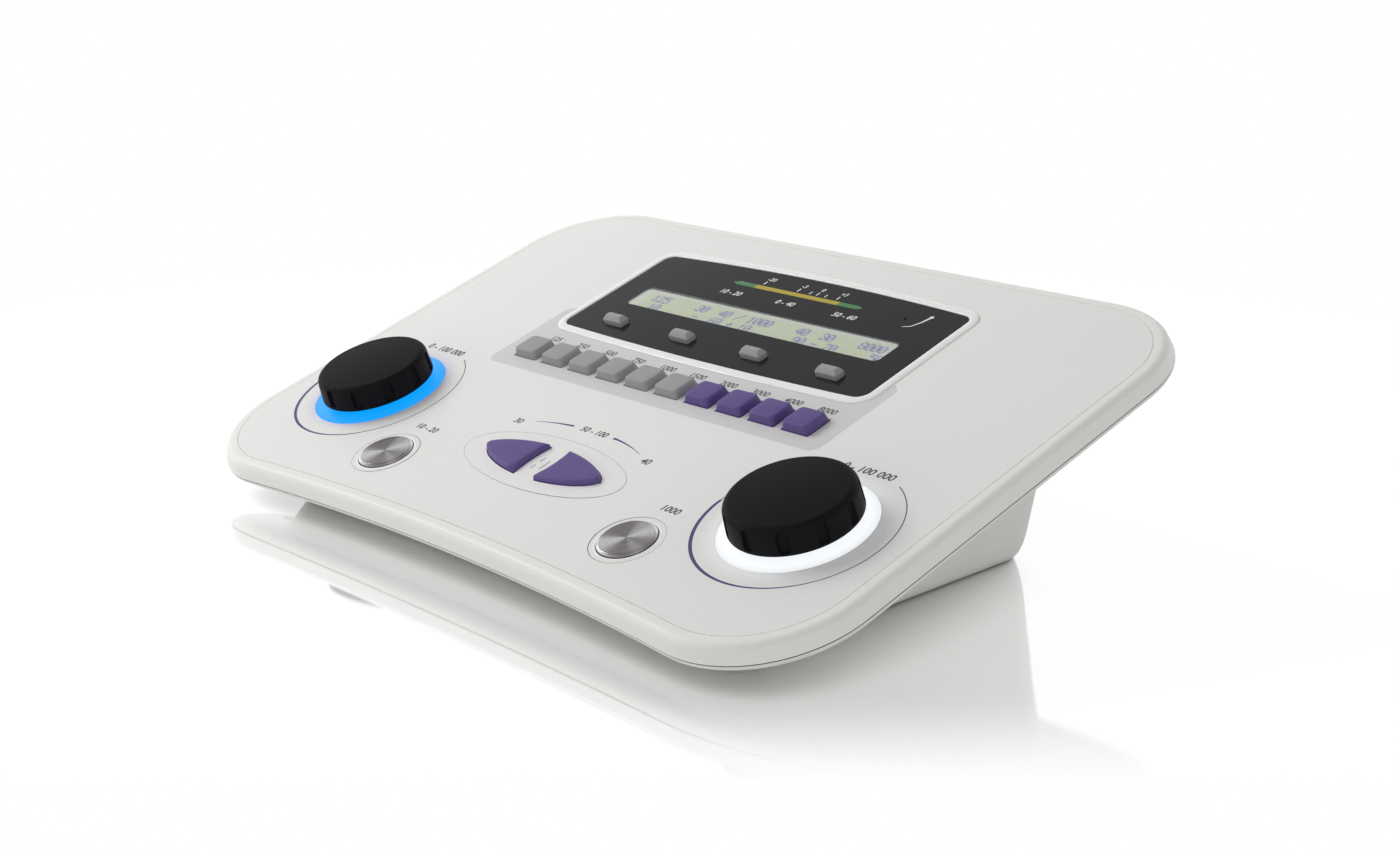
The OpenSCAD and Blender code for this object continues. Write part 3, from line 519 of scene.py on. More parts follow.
def number(name, text, x, y, size, low, high, matrix, turn=0.0, slant=0.12):
    """A plain number standing on the panel's plane."""
    data = bpy.data.curves.new(name, "FONT")
    data.body = text
    data.size = size
    data.shear = slant
    data.align_x = "CENTER"
    data.align_y = "CENTER"
    data.resolution_u = 4
    data.extrude = (high - low) / 2
    data.offset = INK_SPREAD * size
    holder = bpy.data.objects.new(name, data)
    bpy.context.scene.collection.objects.link(holder)
    bpy.context.view_layer.update()
    mesh = bpy.data.meshes.new_from_object(holder.evaluated_get(bpy.context.evaluated_depsgraph_get()))
    bpy.data.objects.remove(holder)
    bpy.data.curves.remove(data)
    bm = bmesh.new()
    bm.from_mesh(mesh)
    bpy.data.meshes.remove(mesh)
    place = (matrix @ Matrix.Translation((x, y, (low + high) / 2)) @ Matrix.Rotation(turn, 4, "Z"))
    bmesh.ops.transform(bm, verts=bm.verts, matrix=place)
    bmesh.ops.remove_doubles(bm, verts=bm.verts, dist=1e-8)
    bmesh.ops.recalc_face_normals(bm, faces=bm.faces)
    return put(name, new_mesh(name, bm))


def settle(obj, body, slot, *nodes):
    """Says what obj rides on and which solids it stands for; slot is not used."""
    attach(obj, body)
    if nodes:
        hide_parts(*nodes)
    return obj


# ---------------------------------------------------------------- materials


class Nodes:
    """Short hand for building a node tree."""

    def __init__(self, tree):
        self.tree = tree

    def add(self, kind, values=None, **settings):
        node = self.tree.nodes.new(kind)
        for key, value in settings.items():
            setattr(node, key, value)
        for key, value in (values or {}).items():
            node.inputs[key].default_value = value
        return node

    def link(self, a, b):
        self.tree.links.new(a, b)

    def math(self, operation, a, b=None, c=None):
        node = self.tree.nodes.new("ShaderNodeMath")
        node.operation = operation
        for i, value in enumerate((a, b, c)):
            if value is None:
                continue
            if isinstance(value, (int, float)):
                node.inputs[i].default_value = value
            else:
                self.tree.links.new(value, node.inputs[i])
        return node.outputs[0]

    def mix(self, factor, a, b):
        node = self.tree.nodes.new("ShaderNodeMix")
        node.data_type = "RGBA"
        for i, value in ((0, factor), (6, a), (7, b)):
            if isinstance(value, (int, float)):
                node.inputs[i].default_value = value
            elif isinstance(value, (tuple, list)):
                node.inputs[i].default_value = (*value[:3], 1.0)
            else:
                self.tree.links.new(value, node.inputs[i])
        return node.outputs[2]


def new_group(name, inputs, outputs):
    """A shader node group with named inputs {name: (type, default)} and outputs {name: type}."""
    group = bpy.data.node_groups.new(name, "ShaderNodeTree")
    for key, (kind, value) in inputs.items():
        socket = group.interface.new_socket(name=key, in_out="INPUT", socket_type=kind)
        socket.default_value = value
    for key, kind in outputs.items():
        group.interface.new_socket(name=key, in_out="OUTPUT", socket_type=kind)
    n = Nodes(group)
    return group, n, n.add("NodeGroupInput"), n.add("NodeGroupOutput")


def moulded_group():
    """Fine texture of moulded plastic: a slightly uneven colour, a roughness and a bump height."""
    group = bpy.data.node_groups.get("moulded_texture")
    if group:
        return group
    group, n, gin, gout = new_group(
        "moulded_texture",
        {"Color": ("NodeSocketColor", (0.8, 0.8, 0.8, 1)), "Grain Size": ("NodeSocketFloat", 2500.0),
         "Unevenness": ("NodeSocketFloat", 0.03), "Roughness": ("NodeSocketFloat", 0.45),
         "Roughness Spread": ("NodeSocketFloat", 0.06)},
        {"Color": "NodeSocketColor", "Roughness": "NodeSocketFloat", "Height": "NodeSocketFloat"})
    coord = n.add("ShaderNodeTexCoord")
    broad = n.add("ShaderNodeTexNoise", {"Scale": 28.0, "Detail": 3.0, "Roughness": 0.5})
    fine = n.add("ShaderNodeTexNoise", {"Detail": 2.0, "Roughness": 0.6})
    n.link(coord.outputs["Object"], broad.inputs["Vector"])
    n.link(coord.outputs["Object"], fine.inputs["Vector"])
    n.link(gin.outputs["Grain Size"], fine.inputs["Scale"])
    swing = n.math("SUBTRACT", broad.outputs["Fac"], 0.5)
    gain = n.math("MULTIPLY_ADD", swing, gin.outputs["Unevenness"], 1.0)
    tint = n.add("ShaderNodeVectorMath", operation="SCALE")
    n.link(gin.outputs["Color"], tint.inputs[0])
    n.link(gain, tint.inputs["Scale"])
    n.link(tint.outputs[0], gout.inputs["Color"])
    speckle = n.math("SUBTRACT", fine.outputs["Fac"], 0.5)
    rough = n.math("MULTIPLY_ADD", speckle, gin.outputs["Roughness Spread"], gin.outputs["Roughness"])
    n.link(rough, gout.inputs["Roughness"])
    n.link(fine.outputs["Fac"], gout.inputs["Height"])
    return group


def fleck_group():
    """Faint woven fleck of the printed film, as a mask from 0 to 1."""
    group = bpy.data.node_groups.get("film_fleck")
    if group:
        return group
    group, n, gin, gout = new_group(
        "film_fleck",
        {"Cell Size": ("NodeSocketFloat", 0.0046), "Skew": ("NodeSocketFloat", 0.6)},
        {"Mask": "NodeSocketFloat"})
    coord = n.add("ShaderNodeTexCoord")
    split = n.add("ShaderNodeSeparateXYZ")
    n.link(coord.outputs["Object"], split.inputs[0])
    u = n.math("DIVIDE", n.math("MULTIPLY_ADD", split.outputs["Y"], gin.outputs["Skew"], split.outputs["X"]),
               gin.outputs["Cell Size"])
    v = n.math("DIVIDE", n.math("SUBTRACT", split.outputs["Y"],
                                n.math("MULTIPLY", split.outputs["X"], gin.outputs["Skew"])),
               gin.outputs["Cell Size"])
    wave = n.math("MULTIPLY", n.math("SINE", n.math("MULTIPLY", u, math.pi * 2)),
                  n.math("SINE", n.math("MULTIPLY", v, math.pi * 2)))
    broad = n.add("ShaderNodeTexNoise", {"Scale": 34.0, "Detail": 1.0})
    n.link(coord.outputs["Object"], broad.inputs["Vector"])
    level = n.math("MULTIPLY", n.math("MULTIPLY_ADD", wave, 0.5, 0.5), broad.outputs["Fac"])
    n.link(level, gout.inputs["Mask"])
    return group


def plastic(name, base, rough=0.45, grain=2500.0, bump=0.02, uneven=0.03, spread=0.06, coat=0.0,
            specular=0.5):
    """Moulded plastic with a fine grain."""
    mat = bpy.data.materials.new(name)
    mat.use_nodes = True
    n = Nodes(mat.node_tree)
    shader = mat.node_tree.nodes["Principled BSDF"]
    group = n.add("ShaderNodeGroup", node_tree=moulded_group())
    group.inputs["Color"].default_value = (*base[:3], 1)
    group.inputs["Grain Size"].default_value = grain
    group.inputs["Unevenness"].default_value = uneven
    group.inputs["Roughness"].default_value = rough
    group.inputs["Roughness Spread"].default_value = spread
    n.link(group.outputs["Color"], shader.inputs["Base Color"])
    n.link(group.outputs["Roughness"], shader.inputs["Roughness"])
    relief = n.add("ShaderNodeBump", {"Strength": bump, "Distance": 0.0002})
    n.link(group.outputs["Height"], relief.inputs["Height"])
    n.link(relief.outputs["Normal"], shader.inputs["Normal"])
    shader.inputs["Coat Weight"].default_value = coat
    shader.inputs["Coat Roughness"].default_value = 0.08
    shader.inputs["Specular IOR Level"].default_value = specular
    return mat


# Light of a ring spilling over the film: side, tint, how far it reaches and how strong it is at the ring
SPILLS = ((-1, (214, 212, 250), 0.004, 0.5), (1, (255, 255, 255), 0.0055, 0.95))
FLECK_SHARE = 0.13


def film_material():
    """Printed film: off-white with a faint woven fleck, and paler where the rings shine over it."""
    mat = plastic("printed_film", finishes().film, rough=0.42, grain=1800.0, bump=0.015, uneven=0.01)
    n = Nodes(mat.node_tree)
    shader = mat.node_tree.nodes["Principled BSDF"]
    base = shader.inputs["Base Color"].links[0].from_socket
    fleck = n.add("ShaderNodeGroup", node_tree=fleck_group())
    mask = n.math("MULTIPLY", fleck.outputs["Mask"], FLECK_SHARE)
    pale = n.mix(mask, base, srgb(206, 204, 202))
    coord = n.add("ShaderNodeTexCoord")
    p = panel_sizes()
    for side, tint, reach, share in SPILLS:
        away = n.add("ShaderNodeVectorMath", operation="DISTANCE")
        n.link(coord.outputs["Object"], away.inputs[0])
        away.inputs[1].default_value = panel() @ Vector((side * p.knob_spacing / 2 / MM, 0, 0))
        spill = n.add("ShaderNodeMapRange", {"From Min": p.ring_radius, "From Max": p.ring_radius + reach,
                                             "To Min": share, "To Max": 0.0}, interpolation_type="SMOOTHSTEP")
        n.link(away.outputs["Value"], spill.inputs["Value"])
        pale = n.mix(spill.outputs["Result"], pale, srgb(*tint))
    n.link(pale, shader.inputs["Base Color"])
    return mat


def metal(name, base, **settings):
    """Plain plated metal with a fine unevenness."""
    mat = plastic(name, base, **settings)
    mat.node_tree.nodes["Principled BSDF"].inputs["Metallic"].default_value = 1.0
    return mat


def lamp(name, base, strength, centre, inner, outer, fall):
    """Translucent lit plastic whose light falls off from inner to outer radius round centre."""
    mat = bpy.data.materials.new(name)
    mat.use_nodes = True
    n = Nodes(mat.node_tree)
    shader = mat.node_tree.nodes["Principled BSDF"]
    coord = n.add("ShaderNodeTexCoord")
    away = n.add("ShaderNodeVectorMath", operation="DISTANCE")
    n.link(coord.outputs["Object"], away.inputs[0])
    away.inputs[1].default_value = centre
    ramp = n.add("ShaderNodeMapRange", {"From Min": inner, "From Max": outer, "To Min": 1.0, "To Max": fall})
    n.link(away.outputs["Value"], ramp.inputs["Value"])
    glow = n.add("ShaderNodeVectorMath", operation="SCALE")
    glow.inputs[0].default_value = base[:3]
    n.link(ramp.outputs["Result"], glow.inputs["Scale"])
    n.link(glow.outputs[0], shader.inputs["Emission Color"])
    shader.inputs["Emission Strength"].default_value = strength
    shader.inputs["Base Color"].default_value = (*[0.03 + 0.1 * c for c in base[:3]], 1)
    shader.inputs["Roughness"].default_value = 0.35
    shader.inputs["Specular IOR Level"].default_value = 0.2
    return mat


# A finish: its colour (a user's colour or an 8-bit one), roughness, grains per metre, relief, unevenness of
# the colour, spread of the roughness, clear coat and specular level
Finish = namedtuple("Finish", "base rough grain bump uneven spread coat specular", defaults=(0.06, 0.0, 0.5))
FINISH_TABLE = {
    "shell_plastic": Finish("shell", 0.36, 1500.0, 0.02, 0.012),
    "frame_plastic": Finish("frame", 0.2, 900.0, 0.008, 0.01, coat=0.3),
    "bezel_plastic": Finish("bezel", 0.09, 700.0, 0.003, 0.05, spread=0.02, specular=0.42),
    "key_plastic": Finish("key", 0.48, 3200.0, 0.05, 0.04),
    "violet_plastic": Finish("violet", 0.42, 3200.0, 0.05, 0.04),
    "knob_rubber": Finish("knob", 0.5, 4200.0, 0.05, 0.10, specular=0.08),
    "violet_ink": Finish("ink", 0.4, 3000.0, 0.01, 0.06),
    "dark_ink": Finish("print", 0.4, 3000.0, 0.01, 0.06),
    "white_ink": Finish((228, 228, 230), 0.4, 3000.0, 0.01, 0.04),
    # painted highlight: white of the lines along the film's edge round the leaf and the round buttons
    "pale_ink": Finish((252, 252, 252), 0.35, 3000.0, 0.01, 0.02),
    "grey_ink": Finish((212, 210, 210), 0.42, 1800.0, 0.015, 0.01),
    "bar_green": Finish("bar_green", 0.3, 900.0, 0.01, 0.12, coat=0.3),
    "bar_yellow": Finish("bar_yellow", 0.3, 900.0, 0.01, 0.12, coat=0.3),
    # painted shade: dark colour of the ring laid in the seam's shadow gap
    "seam_rubber": Finish((78, 74, 68), 0.7, 2200.0, 0.05, 0.1),
    "rubber": Finish((40, 40, 42), 0.8, 2200.0, 0.15, 0.1),
    "socket_plastic": Finish((34, 34, 36), 0.42, 2600.0, 0.05, 0.08),
    "black_plastic": Finish((14, 14, 16), 0.5, 2600.0, 0.05, 0.08, specular=0.15),
    "plate_plastic": Finish((70, 70, 74), 0.5, 2400.0, 0.08, 0.06),
    "board": Finish((40, 96, 62), 0.35, 500.0, 0.05, 0.15),
    "plated_steel": Finish((196, 196, 200), 0.3, 900.0, 0.05, 0.06, spread=0.12),
}


def material(key):
    """The finished material of that name, made once."""
    found = bpy.data.materials.get(key)
    if found:
        return found
    if key == "printed_film":
        return film_material()
    finish = FINISH_TABLE[key]
    base = getattr(finishes(), finish.base) if isinstance(finish.base, str) else srgb(*finish.base)
    make = metal if key == "plated_steel" else plastic
    return make(key, base, rough=finish.rough, grain=finish.grain, bump=finish.bump, uneven=finish.uneven,
                spread=finish.spread, coat=finish.coat, specular=finish.specular)


# Turn of the painted highlight fan on the round buttons, in radians
HIGHLIGHT_TURN = -1.9
# Colours of the painted reflection on the round buttons: its dark and its bright sectors
METAL_REFLECTION_DARK, METAL_REFLECTION_BRIGHT = (150, 145, 144), (255, 254, 253)


def spun_metal(name, x, y, slope):
    """Bright metal spun round its middle: fine rings in the relief, and a painted reflection, a fan of
    highlights and darker sectors by angle painted into its colour.
    """
    mat = bpy.data.materials.new(name)
    mat.use_nodes = True
    n = Nodes(mat.node_tree)
    shader = mat.node_tree.nodes["Principled BSDF"]
    coord = n.add("ShaderNodeTexCoord")
    centre = panel() @ Vector((x, y, 0))
    mapping = n.add("ShaderNodeMapping", vector_type="TEXTURE")
    mapping.inputs["Location"].default_value = centre
    mapping.inputs["Rotation"].default_value = (slope, 0, 0)
    n.link(coord.outputs["Object"], mapping.inputs["Vector"])
    split = n.add("ShaderNodeSeparateXYZ")
    n.link(mapping.outputs["Vector"], split.inputs[0])
    turn = n.math("ARCTAN2", split.outputs["Y"], split.outputs["X"])
    radius = n.math("SQRT", n.math("ADD", n.math("POWER", split.outputs["X"], 2.0),
                                   n.math("POWER", split.outputs["Y"], 2.0)))
    # painted highlights: a strong two-fold pattern by angle and a weaker three-fold one
    fan = n.math("MULTIPLY_ADD", n.math("COSINE", n.math("MULTIPLY_ADD", turn, 2.0, HIGHLIGHT_TURN)), 0.5, 0.5)
    fan = n.math("POWER", fan, 3.0)
    second = n.math("MULTIPLY_ADD", n.math("COSINE", n.math("MULTIPLY_ADD", turn, 3.0, 1.1)), 0.5, 0.5)
    fan = n.math("MULTIPLY_ADD", n.math("POWER", second, 6.0), 0.35, fan)
    wobble = n.add("ShaderNodeTexNoise", {"Scale": 1.0, "Detail": 2.0})
    wobble.noise_dimensions = "2D"
    place = n.add("ShaderNodeCombineXYZ")
    n.link(n.math("MULTIPLY", radius, 3200.0), place.inputs["X"])
    n.link(n.math("MULTIPLY", turn, 0.8), place.inputs["Y"])
    n.link(place.outputs[0], wobble.inputs["Vector"])
    # the fine grain and the painted highlights together set the colour between the dark and the bright
    # reflection
    grain_and_highlight = n.math("MULTIPLY_ADD", wobble.outputs["Fac"], 0.12, n.math("MULTIPLY", fan, 0.95))
    grain_and_highlight_colour = n.mix(grain_and_highlight, srgb(*METAL_REFLECTION_DARK), srgb(*METAL_REFLECTION_BRIGHT))
    n.link(grain_and_highlight_colour, shader.inputs["Base Color"])
    rough = n.math("MULTIPLY_ADD", wobble.outputs["Fac"], 0.16, 0.2)
    n.link(rough, shader.inputs["Roughness"])
    relief = n.add("ShaderNodeBump", {"Strength": 0.04, "Distance": 0.0001})
    n.link(wobble.outputs["Fac"], relief.inputs["Height"])
    n.link(relief.outputs["Normal"], shader.inputs["Normal"])
    shader.inputs["Metallic"].default_value = 1.0
    return mat


def glass_material(name, base, alpha):
    """A clear pane that lets light through."""
    mat = bpy.data.materials.new(name)
    mat.use_nodes = True
    shader = mat.node_tree.nodes["Principled BSDF"]
    n = Nodes(mat.node_tree)
    coord = n.add("ShaderNodeTexCoord")
    smear = n.add("ShaderNodeTexNoise", {"Scale": 60.0, "Detail": 2.0})
    n.link(coord.outputs["Object"], smear.inputs["Vector"])
    n.link(n.math("MULTIPLY_ADD", smear.outputs["Fac"], 0.06, 0.03), shader.inputs["Roughness"])
    shader.inputs["Base Color"].default_value = (*base[:3], 1)
    shader.inputs["Alpha"].default_value = alpha
    return mat


def display_material(name):
    """Pale green display, greyer and lighter towards its edges."""
    mat = plastic(name, finishes().display, rough=0.25, grain=600.0, bump=0.005, uneven=0.05)
    n = Nodes(mat.node_tree)
    shader = mat.node_tree.nodes["Principled BSDF"]
    base = shader.inputs["Base Color"].links[0].from_socket
    coord = n.add("ShaderNodeTexCoord")
    mapping = n.add("ShaderNodeMapping", vector_type="TEXTURE")
    mapping.inputs["Location"].default_value = panel() @ Vector((0.0, (WINDOW[0] + WINDOW[1]) / 2, LAYER_TOP))
    mapping.inputs["Rotation"].default_value = (housing_sizes().panel_tilt, 0, 0)
    n.link(coord.outputs["Object"], mapping.inputs["Vector"])
    split = n.add("ShaderNodeSeparateXYZ")
    n.link(mapping.outputs["Vector"], split.inputs[0])
    side = n.add("ShaderNodeMapRange", {"From Min": 0.0485, "From Max": 0.0556},
                 interpolation_type="SMOOTHSTEP")
    n.link(n.math("ABSOLUTE", split.outputs["X"]), side.inputs["Value"])
    far = n.add("ShaderNodeMapRange", {"From Min": 0.0026, "From Max": 0.0057},
                interpolation_type="SMOOTHSTEP")
    n.link(split.outputs["Y"], far.inputs["Value"])
    edge = n.math("MAXIMUM", side.outputs["Result"], far.outputs["Result"])
    face = n.mix(n.math("MULTIPLY", edge, 0.8), base, srgb(200, 202, 200))
    n.link(face, shader.inputs["Base Color"])
    n.link(face, shader.inputs["Emission Color"])
    shader.inputs["Emission Strength"].default_value = 0.1
    return mat


# ---------------------------------------------------------------- pieces


# Width, depth and middle of the opening under the display's face
DISPLAY_BAY, DISPLAY_BAY_Y = (121, 45.5), 81.05


def build_upper_shell():
    h = housing_sizes()
    shape = housing_outline()
    lean, edge, seam = h.side_lean / MM, h.edge_radius / MM, h.seam_depth / MM
    rings = [(SEAM_LAND, CEILING), (SEAM_LAND, -seam), (0.25, -seam), (0.0, -seam + 0.12)]
    steps = 9
    for i in range(steps + 1):
        a = math.radians(80 - 80 * i / steps)
        rings.append((lean + edge * (1 - math.sin(a)), -edge * (1 - math.cos(a))))
    rings += [(lean + edge + 0.3, 0.0), (OVERLAY_INSET - 0.05, 0.0), (OVERLAY_INSET, -0.05),
              (OVERLAY_INSET, -OVERLAY_T)]
    shell = loft("upper_shell", [lift(outline(shape, i), z) for i, z in rings], panel(),
                 material("shell_plastic"))
    p, m = panel_sizes(), panel()
    kx, rx, ry = places()
    tools = [prism("cut", outline(BEZEL, -LAY_GAP), BEZEL_LOW, CUT_HIGH, m),
             prism("cut", moved(rounded_box(*DISPLAY_BAY, 1), 0, DISPLAY_BAY_Y), CUT_LOW, 0.0, m)]
    for s in (-1, 1):
        tools += [prism("cut", circle(s * kx, 0, p.ring_radius / MM + LAY_GAP), RING_LOW, CUT_HIGH, m),
                  prism("cut", circle(s * kx, 0, p.ring_radius / MM - 4), CUT_LOW, 0.0, m),
                  prism("cut", moved(leaf(s, -KEY_GAP), 0, -p.leaf_front / MM), CUT_LOW, CUT_HIGH, m),
                  prism("cut", circle(s * rx, ry, p.round_radius / MM + KEY_GAP), CUT_LOW, CUT_HIGH, m)]
    for hole in [key_opening(i) for i in range(KEYS)] + mic_openings():
        tools.append(prism("cut", hole, CUT_LOW, CUT_HIGH, m))
    carve(shell, tools)
    settle(shell, "housing", "housing_white", "top_housing")


def seam_gasket():
    """Dark ring at the bottom of the shadow gap between the shells: painted shade, a dark sheet that deepens
    the gap's shadow.
    """
    h = housing_sizes()
    shape, m = housing_outline(), panel()
    seam, gap = h.seam_depth / MM, h.seam_gap / MM
    rows = ((0.25, -seam - gap + 0.01), (0.25, -seam - 0.01), (1.2, -seam - 0.01), (1.2, -seam - gap + 0.01))
    bm = bmesh.new()
    rings = [[bm.verts.new(m @ Vector((x, y, z))) for x, y in outline(shape, i)] for i, z in rows]
    n = len(rings[0])
    for a, b in zip(rings, rings[1:] + rings[:1]):
        for i in range(n):
            bm.faces.new((a[i], a[(i + 1) % n], b[(i + 1) % n], b[i]))
    bmesh.ops.recalc_face_normals(bm, faces=bm.faces)
    shade_ring = put("seam_gasket", new_mesh("seam_gasket", bm), material("seam_rubber"))
    settle(shade_ring, "housing", "housing_white")


def smooth_steps(steps, parts=4):
    """More steps on a smooth curve through the given ones."""
    out = []
    for k in range(len(steps) - 1):
        p0, p1, p2, p3 = (steps[max(k - 1, 0)], steps[k], steps[k + 1], steps[min(k + 2, len(steps) - 1)])
        for i in range(parts):
            t = i / parts
            out.append(tuple(0.5 * (2 * p1[c] + (p2[c] - p0[c]) * t
                                    + (2 * p0[c] - 5 * p1[c] + 4 * p2[c] - p3[c]) * t * t
                                    + (3 * p1[c] - p0[c] - 3 * p2[c] + p3[c]) * t ** 3) for c in (0, 1)))
    return out + [steps[-1]]


def base_rings(inset, top_h, foot_z, steps):
    """Rings of the base from the table to the rim, in metres."""
    m, up = panel(), upright()
    top = [m @ Vector((x, y, top_h)) for x, y in outline(BASE_TOP, inset)]
    foot = [up @ Vector((x, y, foot_z)) for x, y in outline(BASE_FOOT, inset)]
    return [[a + Vector((b.x - a.x, b.y - a.y, 0)) * inward + Vector((0, 0, b.z - a.z)) * height
             for a, b in zip(top, foot)] for height, inward in steps]


# Wall of the lower shell
WALL = 2.5
# Socket plate: its outer face, thickness, half width, lower and upper edge
PLATE_BACK, PLATE_T, PLATE_HALF = 93.6, 2.0, 84.0
PLATE_LOW, PLATE_HIGH = 7.0, 30.0
# Places of the screws in the rim and of the feet, and their radii
CASE_SCREWS = ((121, -24), (-121, -24), (119, 104), (-119, 104), (45, 116), (-45, 116))
FEET = ((84, -17), (84, 62), (-84, -17), (-84, 62))
SCREW_HEAD_R, SCREW_R, FOOT_R = 2.5, 1.4, 6.1


def build_lower_shell():
    h = housing_sizes()
    shape, m = housing_outline(), panel()
    depth, seam, gap = h.rim_depth / MM, h.seam_depth / MM, h.seam_gap / MM
    groove, rounding = h.seam_groove / MM, h.rim_round / MM
    rim_h = depth - seam - gap
    steps = smooth_steps(BASE_STEPS)
    inner = base_rings(WALL, -depth + 1.9, FOOT_PROUD + WALL, steps)

    def on_panel(inset, z):
        return [m @ Vector((x, y, z)) for x, y in outline(shape, inset)]

    rings = inner + [on_panel(rounding + 2, -depth + 2), on_panel(SEAM_LAND, -depth + 2.6),
                     on_panel(SEAM_LAND, -seam), on_panel(groove, -seam), on_panel(groove, -seam - gap)]
    rim = [(0.12, -seam - gap)]
    count = 8
    for i in range(count + 1):
        a = math.radians(86 - 86 * i / count)
        rim.append((rounding * (1 - math.sin(a)), -depth + rim_h * (1 - math.cos(a))))
    rings += [on_panel(*q) for q in rim]
    outer = base_rings(0, -depth - 0.1, FOOT_PROUD, steps)
    rings += list(reversed(outer))
    shell = loft("lower_shell", rings, Matrix.Identity(4), material("shell_plastic"), angle=32)
    up = upright()
    recess = moved(rounded_box(2 * (PLATE_HALF + LAY_GAP), PLATE_HIGH - PLATE_LOW + 2 * LAY_GAP, 1.0),
                   0, (PLATE_LOW + PLATE_HIGH) / 2)
    tools = [loft("cut", [[(x, y, z) for x, z in recess]
                          for y in (PLATE_BACK - PLATE_T - LAY_GAP, PLATE_BACK + 28)], up)]
    for x, y in CASE_SCREWS:
        tools.append(prism("cut", circle(x, y, SCREW_HEAD_R, 48), -depth - 2, -depth + 1.4, m))
        tools.append(prism("cut", circle(x, y, SCREW_R, 32), -depth - 1, -depth + 4, m))
    for x, y in FEET:
        tools.append(prism("cut", circle(x, y, FOOT_R, 64), -1.0, FOOT_PROUD + 1, up))
    carve(shell, tools, angle=32)
    settle(shell, "housing", "housing_white", "bottom_housing")


# Height of the prints over the film
PRINT_HIGH = 0.03


def build_film():
    p, m = panel_sizes(), panel()
    kx, rx, ry = places()
    loops = [outline(housing_outline(), OVERLAY_INSET + 0.15), outline(BEZEL, -FRAME_W - 0.2)]
    for s in (-1, 1):
        loops += [circle(s * kx, 0, p.ring_radius / MM + LAY_GAP, 160),
                  moved(leaf(s, -KEY_GAP), 0, -p.leaf_front / MM),
                  circle(s * rx, ry, p.round_radius / MM + KEY_GAP)]
    loops += [key_opening(i) for i in range(KEYS)] + mic_openings()
    film = plate("printed_panel_film", loops, -OVERLAY_T, 0.0, m, material("printed_film"), soft=0.04,
                 angle=8)
    settle(film, "housing", "overlay_print", "overlay_panel")


def ellipse(cx, cy, a, b, start, end, steps=80):
    return [(cx + a * math.cos(math.radians(start + (end - start) * i / steps)),
             cy + b * math.sin(math.radians(start + (end - start) * i / steps))) for i in range(steps + 1)]


def quadratic(a, middle, b, t):
    """A point of the curve from a to b that passes through middle halfway."""
    return tuple(a[c] * (1 - t) ** 2 + (4 * middle[c] - a[c] - b[c]) * t * (1 - t) + b[c] * t * t
                 for c in (0, 1))


# The printed circle round a knob: its radius, and the angles between which it is open for its number
CIRCLE_R, RING_GAP = 28.25, (62.0, 114.0)
# Printed circle round each round button, and half width and half depth of the line round the leaf
BUTTON_CIRCLE_R, LENS = 10.7, (34.0, 12.7)
# Corners of the grey band behind the keys: its half widths, and its rows from the front to the display
BAND_WIDE, BAND_BACK, BAND_ROWS = 73.2, 70.6, (28.6, 31.0, 63.5, 66.0)
# Plain numbers on the film: (number, x, y, size)
RING_NUMBERS = (("0 - 100 000", -93.6, 27.3, 3.9), ("0 - 100 000", 94.4, 27.3, 3.9))
PANEL_NUMBERS = (("10 - 20", -54.9, -10.2, 3.5), ("1000", 55.9, -10.0, 3.6), ("30", -28.3, 5.3, 3.4),
                 ("40", 29.8, 5.0, 3.6), ("50 - 100", 1.3, 10.4, 3.4))
# Level bar's numbers on the display's face
LEVEL_NUMBERS = (("10 - 20", -23.5, 92.7, 3.3), ("0 - 40", 0.6, 93.2, 3.3), ("50 - 60", 26.0, 93.1, 3.3))
# Tapered strokes beside the middle number: thin end, middle, thick end
STROKES = (((-22.4, 7.4), (-15.3, 9.2), (-7.8, 10.3)), ((24.9, 7.2), (17.2, 9.4), (10.1, 10.3)))
STROKE_THIN, STROKE_THICK, STROKE_STEPS = 0.12, 0.85, 24
KEY_NUMBERS = ("125", "250", "500", "750", "1000", "1500", "2000", "3000", "4000", "8000")
KEY_NUMBER_Y, KEY_NUMBER_SIZE = 47.3, 3.4


